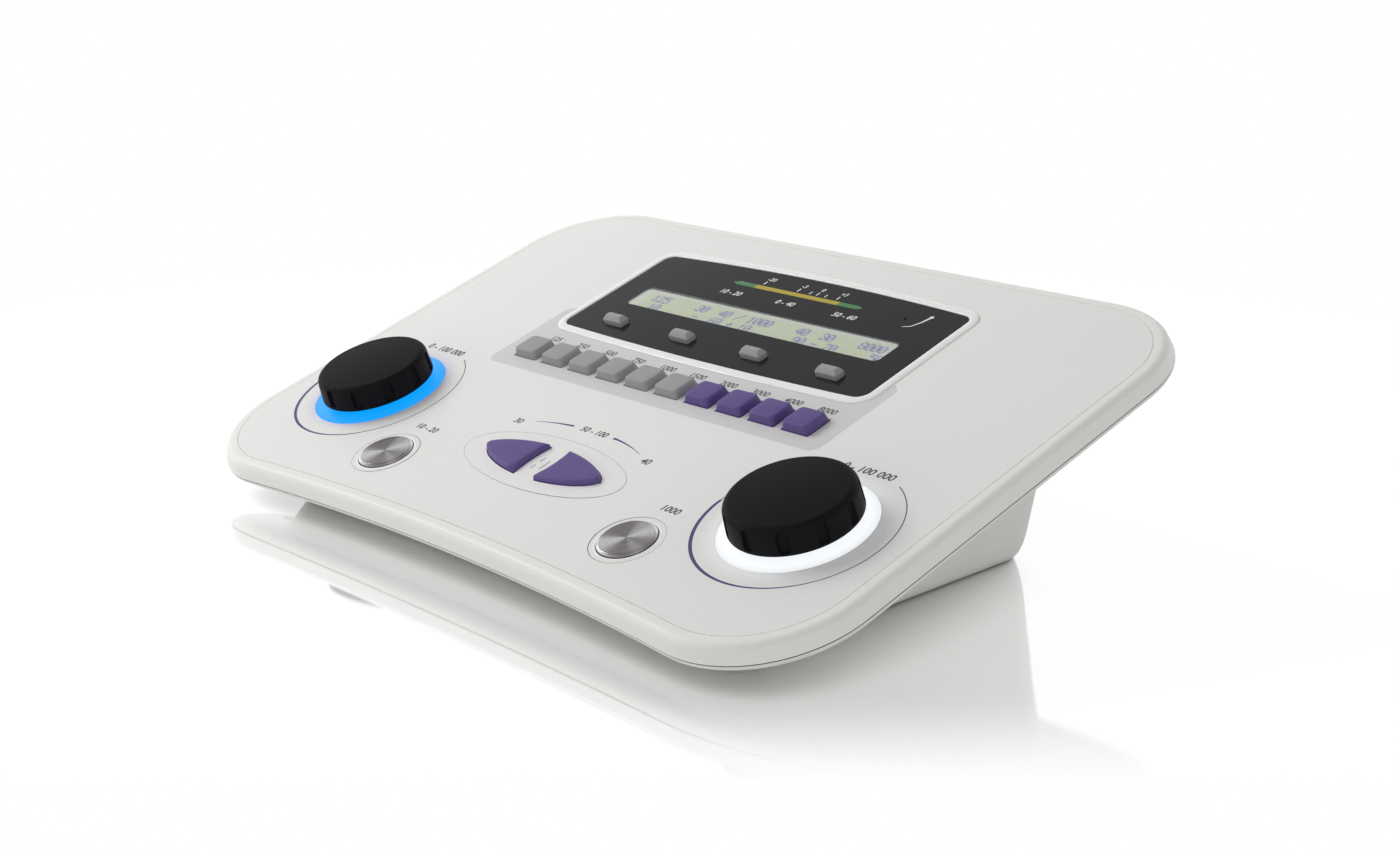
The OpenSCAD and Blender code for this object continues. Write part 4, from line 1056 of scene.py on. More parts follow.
def build_prints():
    """Printed band, circles, arcs, lines and numbers on the film, and white lines round the leaf and the round
    buttons that paint a highlight on the film's edge.
    """
    p, m = panel_sizes(), panel()
    kx, rx, ry = places()
    ly = -p.leaf_front / MM
    top = PRINT_HIGH
    # the grey band behind the keys, with the keys' openings and the display's frame left out
    low, front, back, high = BAND_ROWS
    lower = walk_low_edge(high)
    shape = [(-BAND_WIDE, front), (-71.0, low), (71.0, low), (BAND_WIDE, front), (BAND_WIDE, back),
             (BAND_BACK, high), (lower[0][0], high)] + lower
    shape += [(lower[-1][0], high), (-BAND_BACK, high), (-BAND_WIDE, back)]
    holes = [key_opening(i) for i in range(KEYS)]
    pale = plate("printed_band", [shape] + holes, 0.0, 0.015, m, material("grey_ink"))
    settle(pale, "housing", "overlay_print")

    violet, dark = [], []
    for s in (-1, 1):
        around = ellipse(s * kx, 0, CIRCLE_R, CIRCLE_R, RING_GAP[1] - 360, RING_GAP[0], 220)
        widths = []
        for x, y in around:
            a = math.degrees(math.atan2(y, x - s * kx))
            widths.append(0.28 + 0.75 * max(0.0, math.cos(math.radians((a + 150) / 1.25))) ** 1.5)
        violet.append(ribbon("ring", around, widths, 0.0, top, m))
        around = circle(s * rx, ry, BUTTON_CIRCLE_R, 120)
        widths = [0.05 + 0.2 * (0.5 - 0.5 * s * math.cos(math.atan2(y - ry, x - s * rx))) ** 2
                  for x, y in around]
        dark.append(ribbon("ring", around, widths, 0.0, top, m, closed=True))
    for thin, middle, thick in STROKES:
        points = [quadratic(thin, middle, thick, i / STROKE_STEPS) for i in range(STROKE_STEPS + 1)]
        widths = [STROKE_THIN + (STROKE_THICK - STROKE_THIN) * (i / STROKE_STEPS) ** 1.3
                  for i in range(STROKE_STEPS + 1)]
        violet.append(ribbon("stroke", points, widths, 0.0, top, m))
    lens = ellipse(0, ly, *LENS, 0, 360, 160)[:-1]
    widths = [0.05 + 0.15 * max(0.0, math.cos(math.radians(i * 360 / 160 + 40))) ** 1.5 for i in range(160)]
    dark.append(ribbon("lens", lens, widths, 0.0, top, m, closed=True))
    key_numbers = [(text, key_x(i) + 0.8, KEY_NUMBER_Y, KEY_NUMBER_SIZE)
                   for i, text in enumerate(KEY_NUMBERS)]
    for text, x, y, size in (*RING_NUMBERS, *PANEL_NUMBERS, *key_numbers):
        dark.append(number("number", text, x, y, size, 0.0, top, m))
    # white hairlines just outside the leaf halves and the round buttons: a painted highlight where the film's
    # edge round their openings catches the light
    edge_highlight_lines = []
    for s in (-1, 1):
        points = moved(leaf(s, -KEY_GAP - 0.35), 0, ly)
        edge_highlight_lines.append(ribbon("edge", points, [0.3] * len(points), 0.0, top, m, closed=True))
        points = circle(s * rx, ry, p.round_radius / MM + KEY_GAP + 0.45, 120)
        edge_highlight_lines.append(ribbon("edge", points, [0.4] * len(points), 0.0, top, m, closed=True))
    settle(joined("printed_pale", edge_highlight_lines, material("pale_ink")), "housing", "overlay_print")
    settle(joined("printed_violet", violet, material("violet_ink")), "housing", "overlay_print")
    settle(joined("printed_dark", dark, material("dark_ink")), "housing", "overlay_print")


def walk_low_edge(limit):
    """The frame's outer edge below limit, from right to left round the front."""
    points = outline(BEZEL, -FRAME_W - 0.1)
    low = [q for q in points if q[1] < limit]
    right = sorted([q for q in low if q[0] > 62.4], key=lambda q: -q[1])
    middle = sorted([q for q in low if -62.4 <= q[0] <= 62.4], key=lambda q: -q[0])
    left = sorted([q for q in low if q[0] < -62.4], key=lambda q: q[1])
    return right + middle + left


def build_display_frame():
    m = panel()
    profile = [(-FRAME_W, -OVERLAY_T), (-FRAME_W, 0.06), (-FRAME_W + 0.1, 0.2), (-FRAME_W + 0.4, 0.36),
               (-FRAME_W + 0.9, 0.48), (-FRAME_W + 1.5, FRAME_H), (-0.8, FRAME_H), (-0.4, FRAME_H - 0.04),
               (-0.2, FRAME_H - 0.14), (-LAY_GAP, FRAME_H - 0.34), (-LAY_GAP, -OVERLAY_T)]
    bm = bmesh.new()
    rows = [[bm.verts.new(m @ Vector((x, y, z))) for x, y in outline(BEZEL, inset)] for inset, z in profile]
    n = len(rows[0])
    for a, b in zip(rows, rows[1:] + rows[:1]):
        for i in range(n):
            bm.faces.new((a[i], a[(i + 1) % n], b[(i + 1) % n], b[i]))
    bmesh.ops.recalc_face_normals(bm, faces=bm.faces)
    ring = put("display_surround", new_mesh("display_surround", bm), material("frame_plastic"), 40)
    settle(ring, "housing", "frame_white", "display_frame")


# Soft keys: width, depth, the gap round them and how much lower than the solids they stand
SOFT_W, SOFT_D, SOFT_FREE, SOFT_LOWER = 8.7, 3.9, 0.35, 0.35
# Level bar: its row, half length, width and where its colours change
LEVEL_Y, LEVEL_HALF, LEVEL_W, LEVEL_SPLIT = 99.1, 28.3, 2.0, 18.3
# Pin hole: x, y and radius
PIN_HOLE = (46.2, 98.6, 0.55)


def build_bezel():
    """The dark face of the display, with the level bar in it."""
    p, m = panel_sizes(), panel()
    window = moved(rounded_box(2 * WINDOW_HALF, WINDOW[1] - WINDOW[0], 2.0), 0, sum(WINDOW) / 2)
    loops = [outline(BEZEL, 0.0), window]
    for i in range(4):
        loops.append(moved(rounded_box(SOFT_W + 2 * SOFT_FREE, SOFT_D + 2 * SOFT_FREE, 0.5), soft_x(i),
                           p.soft_row / MM))
    a, b = LEVEL_HALF + 0.05, LEVEL_W / 2 + 0.05
    loops.append([(-a + b * 2, LEVEL_Y - b), (a - b * 2, LEVEL_Y - b), (a, LEVEL_Y), (a - b * 2, LEVEL_Y + b),
                  (-a + b * 2, LEVEL_Y + b), (-a, LEVEL_Y)])
    loops.append(circle(*PIN_HOLE, 32))
    face = plate("display_face", loops, BEZEL_LOW, BEZEL_PROUD, m, material("bezel_plastic"), soft=0.12,
                 angle=8)
    settle(face, "housing", "bezel_dark", "display_bezel")

    low, high = BEZEL_LOW, BEZEL_PROUD - 0.02
    a, b, c = LEVEL_HALF, LEVEL_W / 2, LEVEL_SPLIT
    front, back = LEVEL_Y - b, LEVEL_Y + b
    yellow = plate("level_bar_yellow", [[(-c, front), (c, front), (c, back), (-c, back)]],
                   low, high, m, material("bar_yellow"))
    ends = [plate("end", [[(s * c, front), (s * (a - 2 * b), front), (s * a, LEVEL_Y),
                           (s * (a - 2 * b), back), (s * c, back)]], low, high, m) for s in (-1, 1)]
    green = joined("level_bar_green", ends, material("bar_green"))
    settle(green, "housing", "level_lights", "level_light_bar")
    settle(yellow, "housing", "level_lights")

    top = BEZEL_PROUD
    marks = []
    for x, tall in ((-16.3, 2.0), (-1.2, 2.0), (4.1, 1.6), (7.1, 2.0), (10.7, 1.6), (15.8, 2.0)):
        marks.append(prism("tick", moved(rounded_box(0.45, tall, 0.1), x, LEVEL_Y + 1.7 + tall / 2), top,
                           top + 0.03, m))
    for text, x in (("-20", -15.6), ("-3", -1.0), ("0", 7.2), ("+3", 16.2)):
        marks.append(number("number", text, x, LEVEL_Y + 5.2, 2.6, top, top + 0.03, m))
    for text, x, y, size in LEVEL_NUMBERS:
        marks.append(number("number", text, x, y, size, top, top + 0.03, m))
    # a small plain sign beside the pin hole
    marks.append(ribbon("wand", [(48.6, 94.2), (51.0, 95.2), (52.6, 98.0), (53.6, 101.2)],
                        [0.25, 0.45, 0.6, 0.9], top, top + 0.03, m))
    marks.append(prism("wand_tip", circle(53.8, 101.9, 0.75, 24), top, top + 0.03, m))
    settle(joined("display_face_marks", marks, material("white_ink")), "housing", "bezel_dark")


DIGITS = {
    "0": "01110 10001 10011 10101 11001 10001 01110", "1": "00100 01100 00100 00100 00100 00100 01110",
    "2": "01110 10001 00001 00110 01000 10000 11111", "3": "01110 10001 00001 00110 00001 10001 01110",
    "4": "00010 00110 01010 10010 11111 00010 00010", "5": "11111 10000 11110 00001 00001 10001 01110",
    "6": "00110 01000 10000 11110 10001 10001 01110", "7": "11111 00001 00010 00100 01000 01000 01000",
    "8": "01110 10001 10001 01110 10001 10001 01110", "9": "01110 10001 10001 01111 00001 00010 01100",
    "-": "00000 00000 00000 11111 00000 00000 00000", "+": "00000 00100 00100 11111 00100 00100 00000",
    "/": "00001 00001 00010 00100 01000 10000 10000", ".": "00000 00000 00000 00000 00000 01100 01100",
}
LCD_ROWS = ("  125     30  40 / 1000    40  30    8000", "   10      -  60 + 10       90 - 70     50")
# Rows and left end of the characters, their pitch and the size of a dot, and the display's face
LCD_ROW_Y, LCD_START_X = (81.3, 76.4), -53.6
LCD_PITCH, DOT = 2.62, 0.5
LCD_DEPTH = -3.4
# Clear cover in the window, and the top of the display's upper layer under it
COVER_LOW, COVER_TOP = -0.2, 0.12
LAYER_TOP = -0.28


def dot_tree():
    """Places a small square block on every point of the mesh it is given."""
    tree = bpy.data.node_groups.new("dot_matrix", "GeometryNodeTree")
    tree.interface.new_socket(name="Geometry", in_out="INPUT", socket_type="NodeSocketGeometry")
    size = tree.interface.new_socket(name="Dot Size", in_out="INPUT", socket_type="NodeSocketFloat")
    size.default_value = 0.0004
    tall = tree.interface.new_socket(name="Dot Height", in_out="INPUT", socket_type="NodeSocketFloat")
    tall.default_value = 0.00005
    slope = tree.interface.new_socket(name="Slope", in_out="INPUT", socket_type="NodeSocketFloat")
    slope.default_value = 0.3
    tree.interface.new_socket(name="Material", in_out="INPUT", socket_type="NodeSocketMaterial")
    tree.interface.new_socket(name="Geometry", in_out="OUTPUT", socket_type="NodeSocketGeometry")
    n = Nodes(tree)
    gin, gout = n.add("NodeGroupInput"), n.add("NodeGroupOutput")
    block = n.add("GeometryNodeMeshCube")
    sides = n.add("ShaderNodeCombineXYZ")
    n.link(gin.outputs["Dot Size"], sides.inputs["X"])
    n.link(gin.outputs["Dot Size"], sides.inputs["Y"])
    n.link(gin.outputs["Dot Height"], sides.inputs["Z"])
    n.link(sides.outputs[0], block.inputs["Size"])
    turn = n.add("ShaderNodeCombineXYZ")
    n.link(gin.outputs["Slope"], turn.inputs["X"])
    place = n.add("GeometryNodeInstanceOnPoints")
    n.link(gin.outputs["Geometry"], place.inputs["Points"])
    n.link(block.outputs["Mesh"], place.inputs["Instance"])
    n.link(turn.outputs[0], place.inputs["Rotation"])
    real = n.add("GeometryNodeRealizeInstances")
    n.link(place.outputs[0], real.inputs[0])
    paint = n.add("GeometryNodeSetMaterial")
    n.link(real.outputs[0], paint.inputs["Geometry"])
    n.link(gin.outputs["Material"], paint.inputs["Material"])
    n.link(paint.outputs[0], gout.inputs["Geometry"])
    return tree


def set_input(modifier, name, value):
    """Sets a geometry nodes input by its socket's identifier."""
    for item in modifier.node_group.interface.items_tree:
        if item.item_type == "SOCKET" and item.in_out == "INPUT" and item.name == name:
            modifier[item.identifier] = value
            return
    raise KeyError(name)


def build_display():
    m = panel()
    mid = sum(WINDOW) / 2
    deep = WINDOW[1] - WINDOW[0]

    def windowed(grow):
        return moved(rounded_box(2 * (WINDOW_HALF + grow), deep + 2 * grow, 2.0), 0, mid)

    tray = [plate("flange", [windowed(1.2), windowed(-0.25)], BEZEL_LOW - 0.9, BEZEL_LOW, m),
            plate("upstand", [windowed(-0.05), windowed(-0.25)], BEZEL_LOW, COVER_LOW, m),
            prism("cover", windowed(-0.05), COVER_LOW, COVER_TOP, m)]
    pane = joined("display_pane", tray, glass_material("clear_pane", (0.9, 0.95, 0.92), 0.12))
    settle(pane, "housing", "clear_window", "display_window")
    shape = moved(rounded_box(2 * WINDOW_HALF + 12.0, deep + 9.0, 2.0), -1.5, mid + 1.8)
    glass = prism("display_glass", shape, LCD_DEPTH - 1.2, LCD_DEPTH, m, display_material("display_green"))
    settle(glass, "housing", "lcd_green", "lcd_glass")
    layer = prism("display_layer", windowed(-0.3), LCD_DEPTH, LAYER_TOP, m,
                  display_material("display_layer_green"))
    settle(layer, "housing", "lcd_green")

    bm = bmesh.new()
    for row, y in zip(LCD_ROWS, LCD_ROW_Y):
        for k, letter in enumerate(row):
            cell = DIGITS.get(letter)
            if not cell:
                continue
            for r, line in enumerate(cell.split()):
                for c, on in enumerate(line):
                    if on == "1":
                        x = LCD_START_X + k * LCD_PITCH + c * DOT
                        bm.verts.new(m @ Vector((x, y + (3 - r) * DOT * 1.12, LAYER_TOP + 0.03)))
    holder = put("display_characters", new_mesh("display_characters", bm))
    ink = plastic("display_ink", finishes().characters, rough=0.4, grain=900.0, bump=0.01, uneven=0.1)
    dots = holder.modifiers.new("dots", "NODES")
    dots.node_group = dot_tree()
    set_input(dots, "Dot Size", DOT * 0.95 * MM)
    set_input(dots, "Dot Height", 0.05 * MM)
    set_input(dots, "Slope", housing_sizes().panel_tilt)
    set_input(dots, "Material", ink)
    made_plain(holder)
    shade(holder)
    settle(holder, "housing", "lcd_green")


def key_rings(w, d, taper, rounding, low, high, crown, r=1.1):
    """Rings of a soft-edged cap with a slightly crowned top."""
    rings = [lift(rounded_box(w, d, r), low), lift(rounded_box(w, d, r), 0.15)]
    steps = 7
    for i in range(steps + 1):
        a = math.radians(90 * i / steps)
        inset = taper + rounding * (1 - math.cos(a))
        drop = crown + rounding * (1 - math.sin(a))
        rings.append(lift(rounded_box(w - 2 * inset, d - 2 * inset, r + 0.2), high - drop))
    base = taper + rounding
    for i in range(1, 7):
        t = i / 7.0
        inset = base + (d / 2 - base - 0.4) * t
        rr = max(0.3, (r + 0.2) * (1 - t) + 0.3 * t)
        rings.append(lift(rounded_box(w - 2 * inset, d - 2 * inset, rr), high - crown * (1 - t) ** 2))
    return rings


def build_keys():
    """Ten soft-edged caps, grey and violet."""
    p, m = panel_sizes(), panel()
    for i in range(KEYS):
        x = key_x(i)
        rings = key_rings(p.key_width / MM, p.key_depth / MM, 0.4, 0.55, -2.7, p.key_height / MM, 0.1)
        rings = [[(a + x, b + p.key_row / MM, z) for a, b, z in ring] for ring in rings]
        grey = i < GREY_KEYS
        key = loft(f"key_cap_{i + 1}", rings, m, material("key_plastic" if grey else "violet_plastic"), 50)
        settle(key, f"key_{i + 1}_body", "key_grey" if grey else "key_purple", f"key_{i + 1}")


def build_soft_keys():
    p, m = panel_sizes(), panel()
    top = p.soft_height / MM - SOFT_LOWER
    # each ring: how much smaller in width and depth, corner radius, and height
    steps = ((0, 0, 0.5, -1.5), (0, 0, 0.5, top - 1.42), (0.12, 0.12, 0.5, top - 1.3),
             (0.3, 0.28, 0.5, top - 1.18), (1.9, 1.75, 0.4, top - 0.16), (2.2, 2.0, 0.4, top - 0.04),
             (2.6, 2.4, 0.3, top), (3.4, 3.2, 0.2, top))
    for i in range(4):
        rings = [[(a + soft_x(i), b + p.soft_row / MM, z) for a, b in rounded_box(SOFT_W - w, SOFT_D - d, r)]
                 for w, d, r, z in steps]
        key = loft(f"soft_key_cap_{i + 1}", rings, m, material("key_plastic"), 22)
        settle(key, f"soft_key_{i + 1}_body", "soft_key_grey", f"soft_key_{i + 1}")


def build_talkover():
    p, m = panel_sizes(), panel()
    top, rounding = 1.7, 0.75
    for side, word in ((-1, "yes"), (1, "no")):
        rings = [(0.0, -2.7), (0.0, 0.3)]
        steps = 7
        for i in range(steps + 1):
            a = math.radians(90 * i / steps)
            rings.append((0.12 + rounding * (1 - math.cos(a)), top - rounding * (1 - math.sin(a)) - 0.05))
        rings += [(1.3, top - 0.02), (2.0, top)]
        rings = [[(a, b - p.leaf_front / MM, z) for a, b in leaf(side, inset)] for inset, z in rings]
        cap = loft(f"talkover_{word}_cap", rings, m, material("violet_plastic"), 50)
        settle(cap, f"talkover_{word}_body", "button_purple", f"talkover_{word}_button")


def build_round_buttons():
    p, m = panel_sizes(), panel()
    r, top = p.round_radius / MM, 0.9
    profile = [(0, -2.7), (r, -2.7), (r, top - 0.52), (r - 0.05, top - 0.46), (r - 0.5, top - 0.06),
               (r - 0.62, top), (r - 0.8, top), (r * 0.6, top - 0.03), (r * 0.25, top - 0.05),
               (0, top - 0.06)]
    for s, word in ((-1, "left"), (1, "right")):
        x, y = s * p.round_offset / MM, -p.round_front / MM
        cap = lathe(f"round_button_cap_{word}", profile, x, y, m,
                    spun_metal(f"spun_metal_{word}", x, y, housing_sizes().panel_tilt), 128, 30)
        settle(cap, f"round_button_{word}_body", "spun_metal", f"round_button_{word}")


# Knob: radius at the foot and at the top, height of the foot and of the rim, rise of the top, edge rounding
KNOB_R, KNOB_TOP_R, KNOB_LIFT, KNOB_RIM, KNOB_DOME, KNOB_ROUND = 18.3, 18.0, 2.2, 10.1, 0.6, 2.2
# Its notches: width, depth, turn of the first one in degrees, and how far up they start
NOTCH_W, NOTCH_DEPTH, NOTCH_TURN, NOTCH_RISE = 3.0, 0.95, -87.0, 0.9


def knob_profile():
    """(radius, height) of a knob from inside its foot to the middle of its top."""
    shoulder = KNOB_RIM - KNOB_ROUND
    points = [(0.0, KNOB_RIM - 2.0), (KNOB_R - 2.2, KNOB_RIM - 2.0), (KNOB_R - 2.2, KNOB_LIFT),
              (KNOB_R - 0.3, KNOB_LIFT), (KNOB_R - 0.08, KNOB_LIFT + 0.1), (KNOB_R, KNOB_LIFT + 0.32)]
    steps = 40
    for i in range(1, steps + 1):
        t = i / steps
        points.append((KNOB_R + (KNOB_TOP_R - KNOB_R) * t,
                       KNOB_LIFT + 0.32 + (shoulder - KNOB_LIFT - 0.32) * t))
    for i in range(1, 19):
        a = math.radians(5.0 * i)
        points.append((KNOB_TOP_R - KNOB_ROUND * (1 - math.cos(a)), shoulder + KNOB_ROUND * math.sin(a)))
    for i in range(1, 9):
        t = 1 - i / 8
        points.append(((KNOB_TOP_R - KNOB_ROUND) * t, KNOB_RIM + KNOB_DOME * (1 - t * t)))
    return points


def notch_share(across, h):
    """How deep a rounded slot is at a place on the knob's side, from 0 to 1."""
    low, high = KNOB_LIFT + 0.8, KNOB_RIM - KNOB_ROUND + NOTCH_RISE
    corner = 0.7
    dx = abs(across) - (NOTCH_W / 2 - corner)
    dy = abs(h - (low + high) / 2) - ((high - low) / 2 - corner)
    away = math.hypot(max(dx, 0.0), max(dy, 0.0)) + min(max(dx, dy), 0.0)
    t = min(max((corner - away) / 0.3 + 0.5, 0.0), 1.0)
    return t * t * (3 - 2 * t)


def build_knobs():
    p, m = panel_sizes(), panel()
    count, steps = p.notches, 528
    for s, word in ((-1, "left"), (1, "right")):
        cx = s * p.knob_spacing / 2 / MM
        bm = bmesh.new()
        rows = []
        for r, h in knob_profile():
            if r < 1e-6:
                rows.append([bm.verts.new(m @ Vector((cx, 0, h)))])
                continue
            row = []
            for i in range(steps):
                a = 2 * math.pi * i / steps
                rr = r
                if r > KNOB_R - 0.9 and h > KNOB_LIFT:
                    turn = (math.degrees(a) - NOTCH_TURN) * count / 360
                    off = ((turn + 0.5) % 1.0 - 0.5) * 2 * math.pi / count * KNOB_R
                    rr = r - NOTCH_DEPTH * notch_share(off, h)
                row.append(bm.verts.new(m @ Vector((cx + rr * math.cos(a), rr * math.sin(a), h))))
            rows.append(row)
        for a, b in zip(rows, rows[1:]):
            for i in range(steps):
                j = (i + 1) % steps
                face = list(dict.fromkeys([a[i % len(a)], a[j % len(a)], b[j % len(b)], b[i % len(b)]]))
                if len(face) > 2:
                    bm.faces.new(face)
        bmesh.ops.recalc_face_normals(bm, faces=bm.faces)
        knob = put(f"knob_cap_{word}", new_mesh(f"knob_cap_{word}", bm), material("knob_rubber"), 60)
        settle(knob, f"knob_{word}_body", "knob_black", f"knob_{word}")


def build_rings():
    p, m, f = panel_sizes(), panel(), finishes()
    r = p.ring_radius / MM
    for s, word, light, strength, fall in ((-1, "left", f.left_light, 1.0, 0.93),
                                           (1, "right", f.right_light, 0.95, 0.86)):
        cx = s * p.knob_spacing / 2 / MM
        profile = [(4.7, -1.4), (r, -1.4), (r, -0.12), (r - 0.04, -0.03), (r - 0.12, 0.0), (4.7, 0.0)]
        profile = profile + [profile[0]]
        bm = bmesh.new()
        steps = 160
        rows = [[bm.verts.new(m @ Vector((cx + q * math.cos(2 * math.pi * i / steps),
                                          q * math.sin(2 * math.pi * i / steps), z))) for i in range(steps)]
                for q, z in profile[:-1]]
        for a, b in zip(rows, rows[1:] + rows[:1]):
            for i in range(steps):
                bm.faces.new((a[i], a[(i + 1) % steps], b[(i + 1) % steps], b[i]))
        bmesh.ops.recalc_face_normals(bm, faces=bm.faces)
        centre = m @ Vector((cx, 0, 0))
        glow = lamp(f"lit_ring_{word}", light, strength, centre, 0.0192, 0.0216, fall)
        ring = put(f"lit_ring_{word}", new_mesh(f"lit_ring_{word}", bm), glow, 35)
        settle(ring, "housing", "ring_blue" if s < 0 else "ring_white", f"light_ring_{word}")


def dress_solids():
    """Gives every solid that still shows its material."""
    nodes = frame["nodes"]
    keys = {"lcd_frame": "black_plastic", "lcd_board": "board", "main_board": "board",
            "socket_board": "board", "socket_plate": "plate_plastic", "rubber_feet": "rubber",
            "power_inlet": "socket_plastic"}
    for name, node in nodes.items():
        key = keys.get(name)
        if key is None:
            key = "socket_plastic" if name.endswith(("_jack", "_switches")) else "plated_steel"
        if not node.hide_render:
            for slot in node.material_slots:
                slot.material = material(key)


# ---------------------------------------------------------------- stage

# How much of the floor mirrors for the camera, the light added to it, and its shade without either
FLOOR_GLOSS, FLOOR_LIFT, FLOOR_MATT = 0.6, 0.31, 0.4
# The floor turns white from the first to the second distance: from the middle, and towards the camera
FADE_RADIUS = (0.22, 0.45)
FADE_AHEAD = (0.125, 0.18)
SKY_LOW, SKY_HIGH, SKY_MIRRORED = 0.9, 0.35, 0.4
# (name, place, aim, size, power, whether it only shows as a highlight)
LIGHTS = (
    ("softbox_left", (-0.86, -0.2, 0.72), (0, 0, 0.03), (0.6, 0.5), 7.4, False),
    ("strip_front", (-0.85, -0.42, 0.73), (0, 0, 0.03), (0.3, 0.1), 1.2, True),
)
CAMERA_AT = (0.4381, -0.3508, 0.1619)
CAMERA_LENS = 52.06
FORWARD = (-0.7086, 0.6528, -0.2680)
RIGHT = (0.6775, 0.7355, 0.0)


def build_stage():
    scene = bpy.context.scene
    h = housing_sizes()
    forward, right = Vector(FORWARD).normalized(), Vector(RIGHT).normalized()
    up = right.cross(forward)
    place = Matrix((right, up, -forward)).transposed().to_4x4()
    place.translation = Vector(CAMERA_AT) + Vector((0, SHIFT_Y * MM, h.knob_row_height))
    data = bpy.data.cameras.new("camera")
    data.sensor_width = 36.0
    data.sensor_fit = "HORIZONTAL"
    data.lens = CAMERA_LENS
    data.clip_start = 0.01
    camera = bpy.data.objects.new("camera", data)
    camera.matrix_world = place
    scene.collection.objects.link(camera)
    scene.camera = camera
    scene.view_settings.view_transform = "Standard"

    # a pale floor, white to the camera away from the object, with a soft reflection
    bm = bmesh.new()
    bmesh.ops.create_grid(bm, x_segments=2, y_segments=2, size=6.0)
    mesh = new_mesh("floor", bm)
    floor = bpy.data.objects.new("floor", mesh)
    scene.collection.objects.link(floor)
    mat = bpy.data.materials.new("pale_floor")
    mat.use_nodes = True
    n = Nodes(mat.node_tree)
    mat.node_tree.nodes.remove(mat.node_tree.nodes["Principled BSDF"])
    path = n.add("ShaderNodeLightPath")
    matt = n.add("ShaderNodeBsdfDiffuse")
    n.link(n.mix(path.outputs["Is Camera Ray"], (0.93, 0.93, 0.93), (FLOOR_MATT, FLOOR_MATT, FLOOR_MATT)),
           matt.inputs["Color"])
    gloss = n.add("ShaderNodeBsdfAnisotropic", {"Color": (1, 1, 1, 1), "Roughness": 0.06})
    shader = n.add("ShaderNodeMixShader")
    n.link(lerp(n, path.outputs["Is Camera Ray"], 0.1, FLOOR_GLOSS), shader.inputs[0])
    n.link(matt.outputs[0], shader.inputs[1])
    n.link(gloss.outputs[0], shader.inputs[2])
    coord = n.add("ShaderNodeTexCoord")
    away = n.add("ShaderNodeVectorMath", operation="LENGTH")
    n.link(coord.outputs["Object"], away.inputs[0])
    far = n.add("ShaderNodeMapRange", {"From Min": FADE_RADIUS[0], "From Max": FADE_RADIUS[1]},
                interpolation_type="SMOOTHSTEP")
    n.link(away.outputs["Value"], far.inputs["Value"])
    ahead = n.add("ShaderNodeVectorMath", operation="DOT_PRODUCT")
    n.link(coord.outputs["Object"], ahead.inputs[0])
    ahead.inputs[1].default_value = (-forward.x, -forward.y, 0.0)
    near = n.add("ShaderNodeMapRange", {"From Min": FADE_AHEAD[0], "From Max": FADE_AHEAD[1]},
                 interpolation_type="SMOOTHSTEP")
    n.link(ahead.outputs["Value"], near.inputs["Value"])
    fade = n.math("MAXIMUM", far.outputs["Result"], near.outputs["Result"])
    looked_at = n.math("ADD", path.outputs["Is Camera Ray"], path.outputs["Is Glossy Ray"])
    seen = n.math("MINIMUM", n.math("ADD", looked_at, path.outputs["Is Transmission Ray"]), 1.0)
    white = n.add("ShaderNodeEmission", {"Color": (1, 1, 1, 1), "Strength": 1.0})
    blend = n.add("ShaderNodeMixShader")
    n.link(n.math("MULTIPLY", fade, seen), blend.inputs[0])
    lift_up = n.add("ShaderNodeEmission", {"Color": (1, 1, 1, 1)})
    open_sky = n.add("ShaderNodeAmbientOcclusion", {"Distance": 0.08}, samples=24)
    share = n.add("ShaderNodeMapRange", {"From Min": 0.08, "From Max": 0.42, "To Max": FLOOR_LIFT},
                  interpolation_type="SMOOTHSTEP")
    n.link(open_sky.outputs["AO"], share.inputs["Value"])
    n.link(n.math("MULTIPLY", share.outputs["Result"], path.outputs["Is Camera Ray"]),
           lift_up.inputs["Strength"])
    total = n.add("ShaderNodeAddShader")
    n.link(shader.outputs[0], total.inputs[0])
    n.link(lift_up.outputs[0], total.inputs[1])
    n.link(total.outputs[0], blend.inputs[1])
    n.link(white.outputs[0], blend.inputs[2])
    n.link(blend.outputs[0], mat.node_tree.nodes["Material Output"].inputs["Surface"])
    mesh.materials.append(mat)

    world = bpy.data.worlds.new("studio")
    scene.world = world
    world.use_nodes = True
    n = Nodes(world.node_tree)
    back = world.node_tree.nodes["Background"]
    back.inputs["Color"].default_value = (1.0, 1.0, 1.0, 1)
    path = n.add("ShaderNodeLightPath")
    coord = n.add("ShaderNodeTexCoord")
    split = n.add("ShaderNodeSeparateXYZ")
    n.link(coord.outputs["Generated"], split.inputs[0])
    sky = n.add("ShaderNodeMapRange", {"From Min": 0.0, "From Max": 1.0, "To Min": SKY_LOW,
                                       "To Max": SKY_HIGH})
    n.link(split.outputs["Z"], sky.inputs["Value"])
    mirrored = n.add("ShaderNodeMapRange", {"From Min": 0.4, "From Max": 0.6, "To Min": 1.0,
                                            "To Max": SKY_MIRRORED}, interpolation_type="SMOOTHSTEP")
    n.link(split.outputs["Z"], mirrored.inputs["Value"])
    strength = lerp(n, path.outputs["Is Glossy Ray"], sky.outputs["Result"], mirrored.outputs["Result"])
    seen = n.math("ADD", path.outputs["Is Camera Ray"], path.outputs["Is Transmission Ray"])
    seen = n.math("MINIMUM", seen, 1.0)
    n.link(lerp(n, seen, strength, 1.0), back.inputs["Strength"])

    for name, at, aim, size, power, highlight in LIGHTS:
        lamp_data = bpy.data.lights.new(name, "AREA")
        lamp_data.shape = "RECTANGLE"
        lamp_data.size, lamp_data.size_y = size
        lamp_data.energy = power
        obj = bpy.data.objects.new(name, lamp_data)
        obj.visible_glossy, obj.visible_diffuse = highlight, not highlight
        obj.location = at
        obj.rotation_euler = (Vector(aim) - Vector(at)).to_track_quat("-Z", "Y").to_euler()
        scene.collection.objects.link(obj)


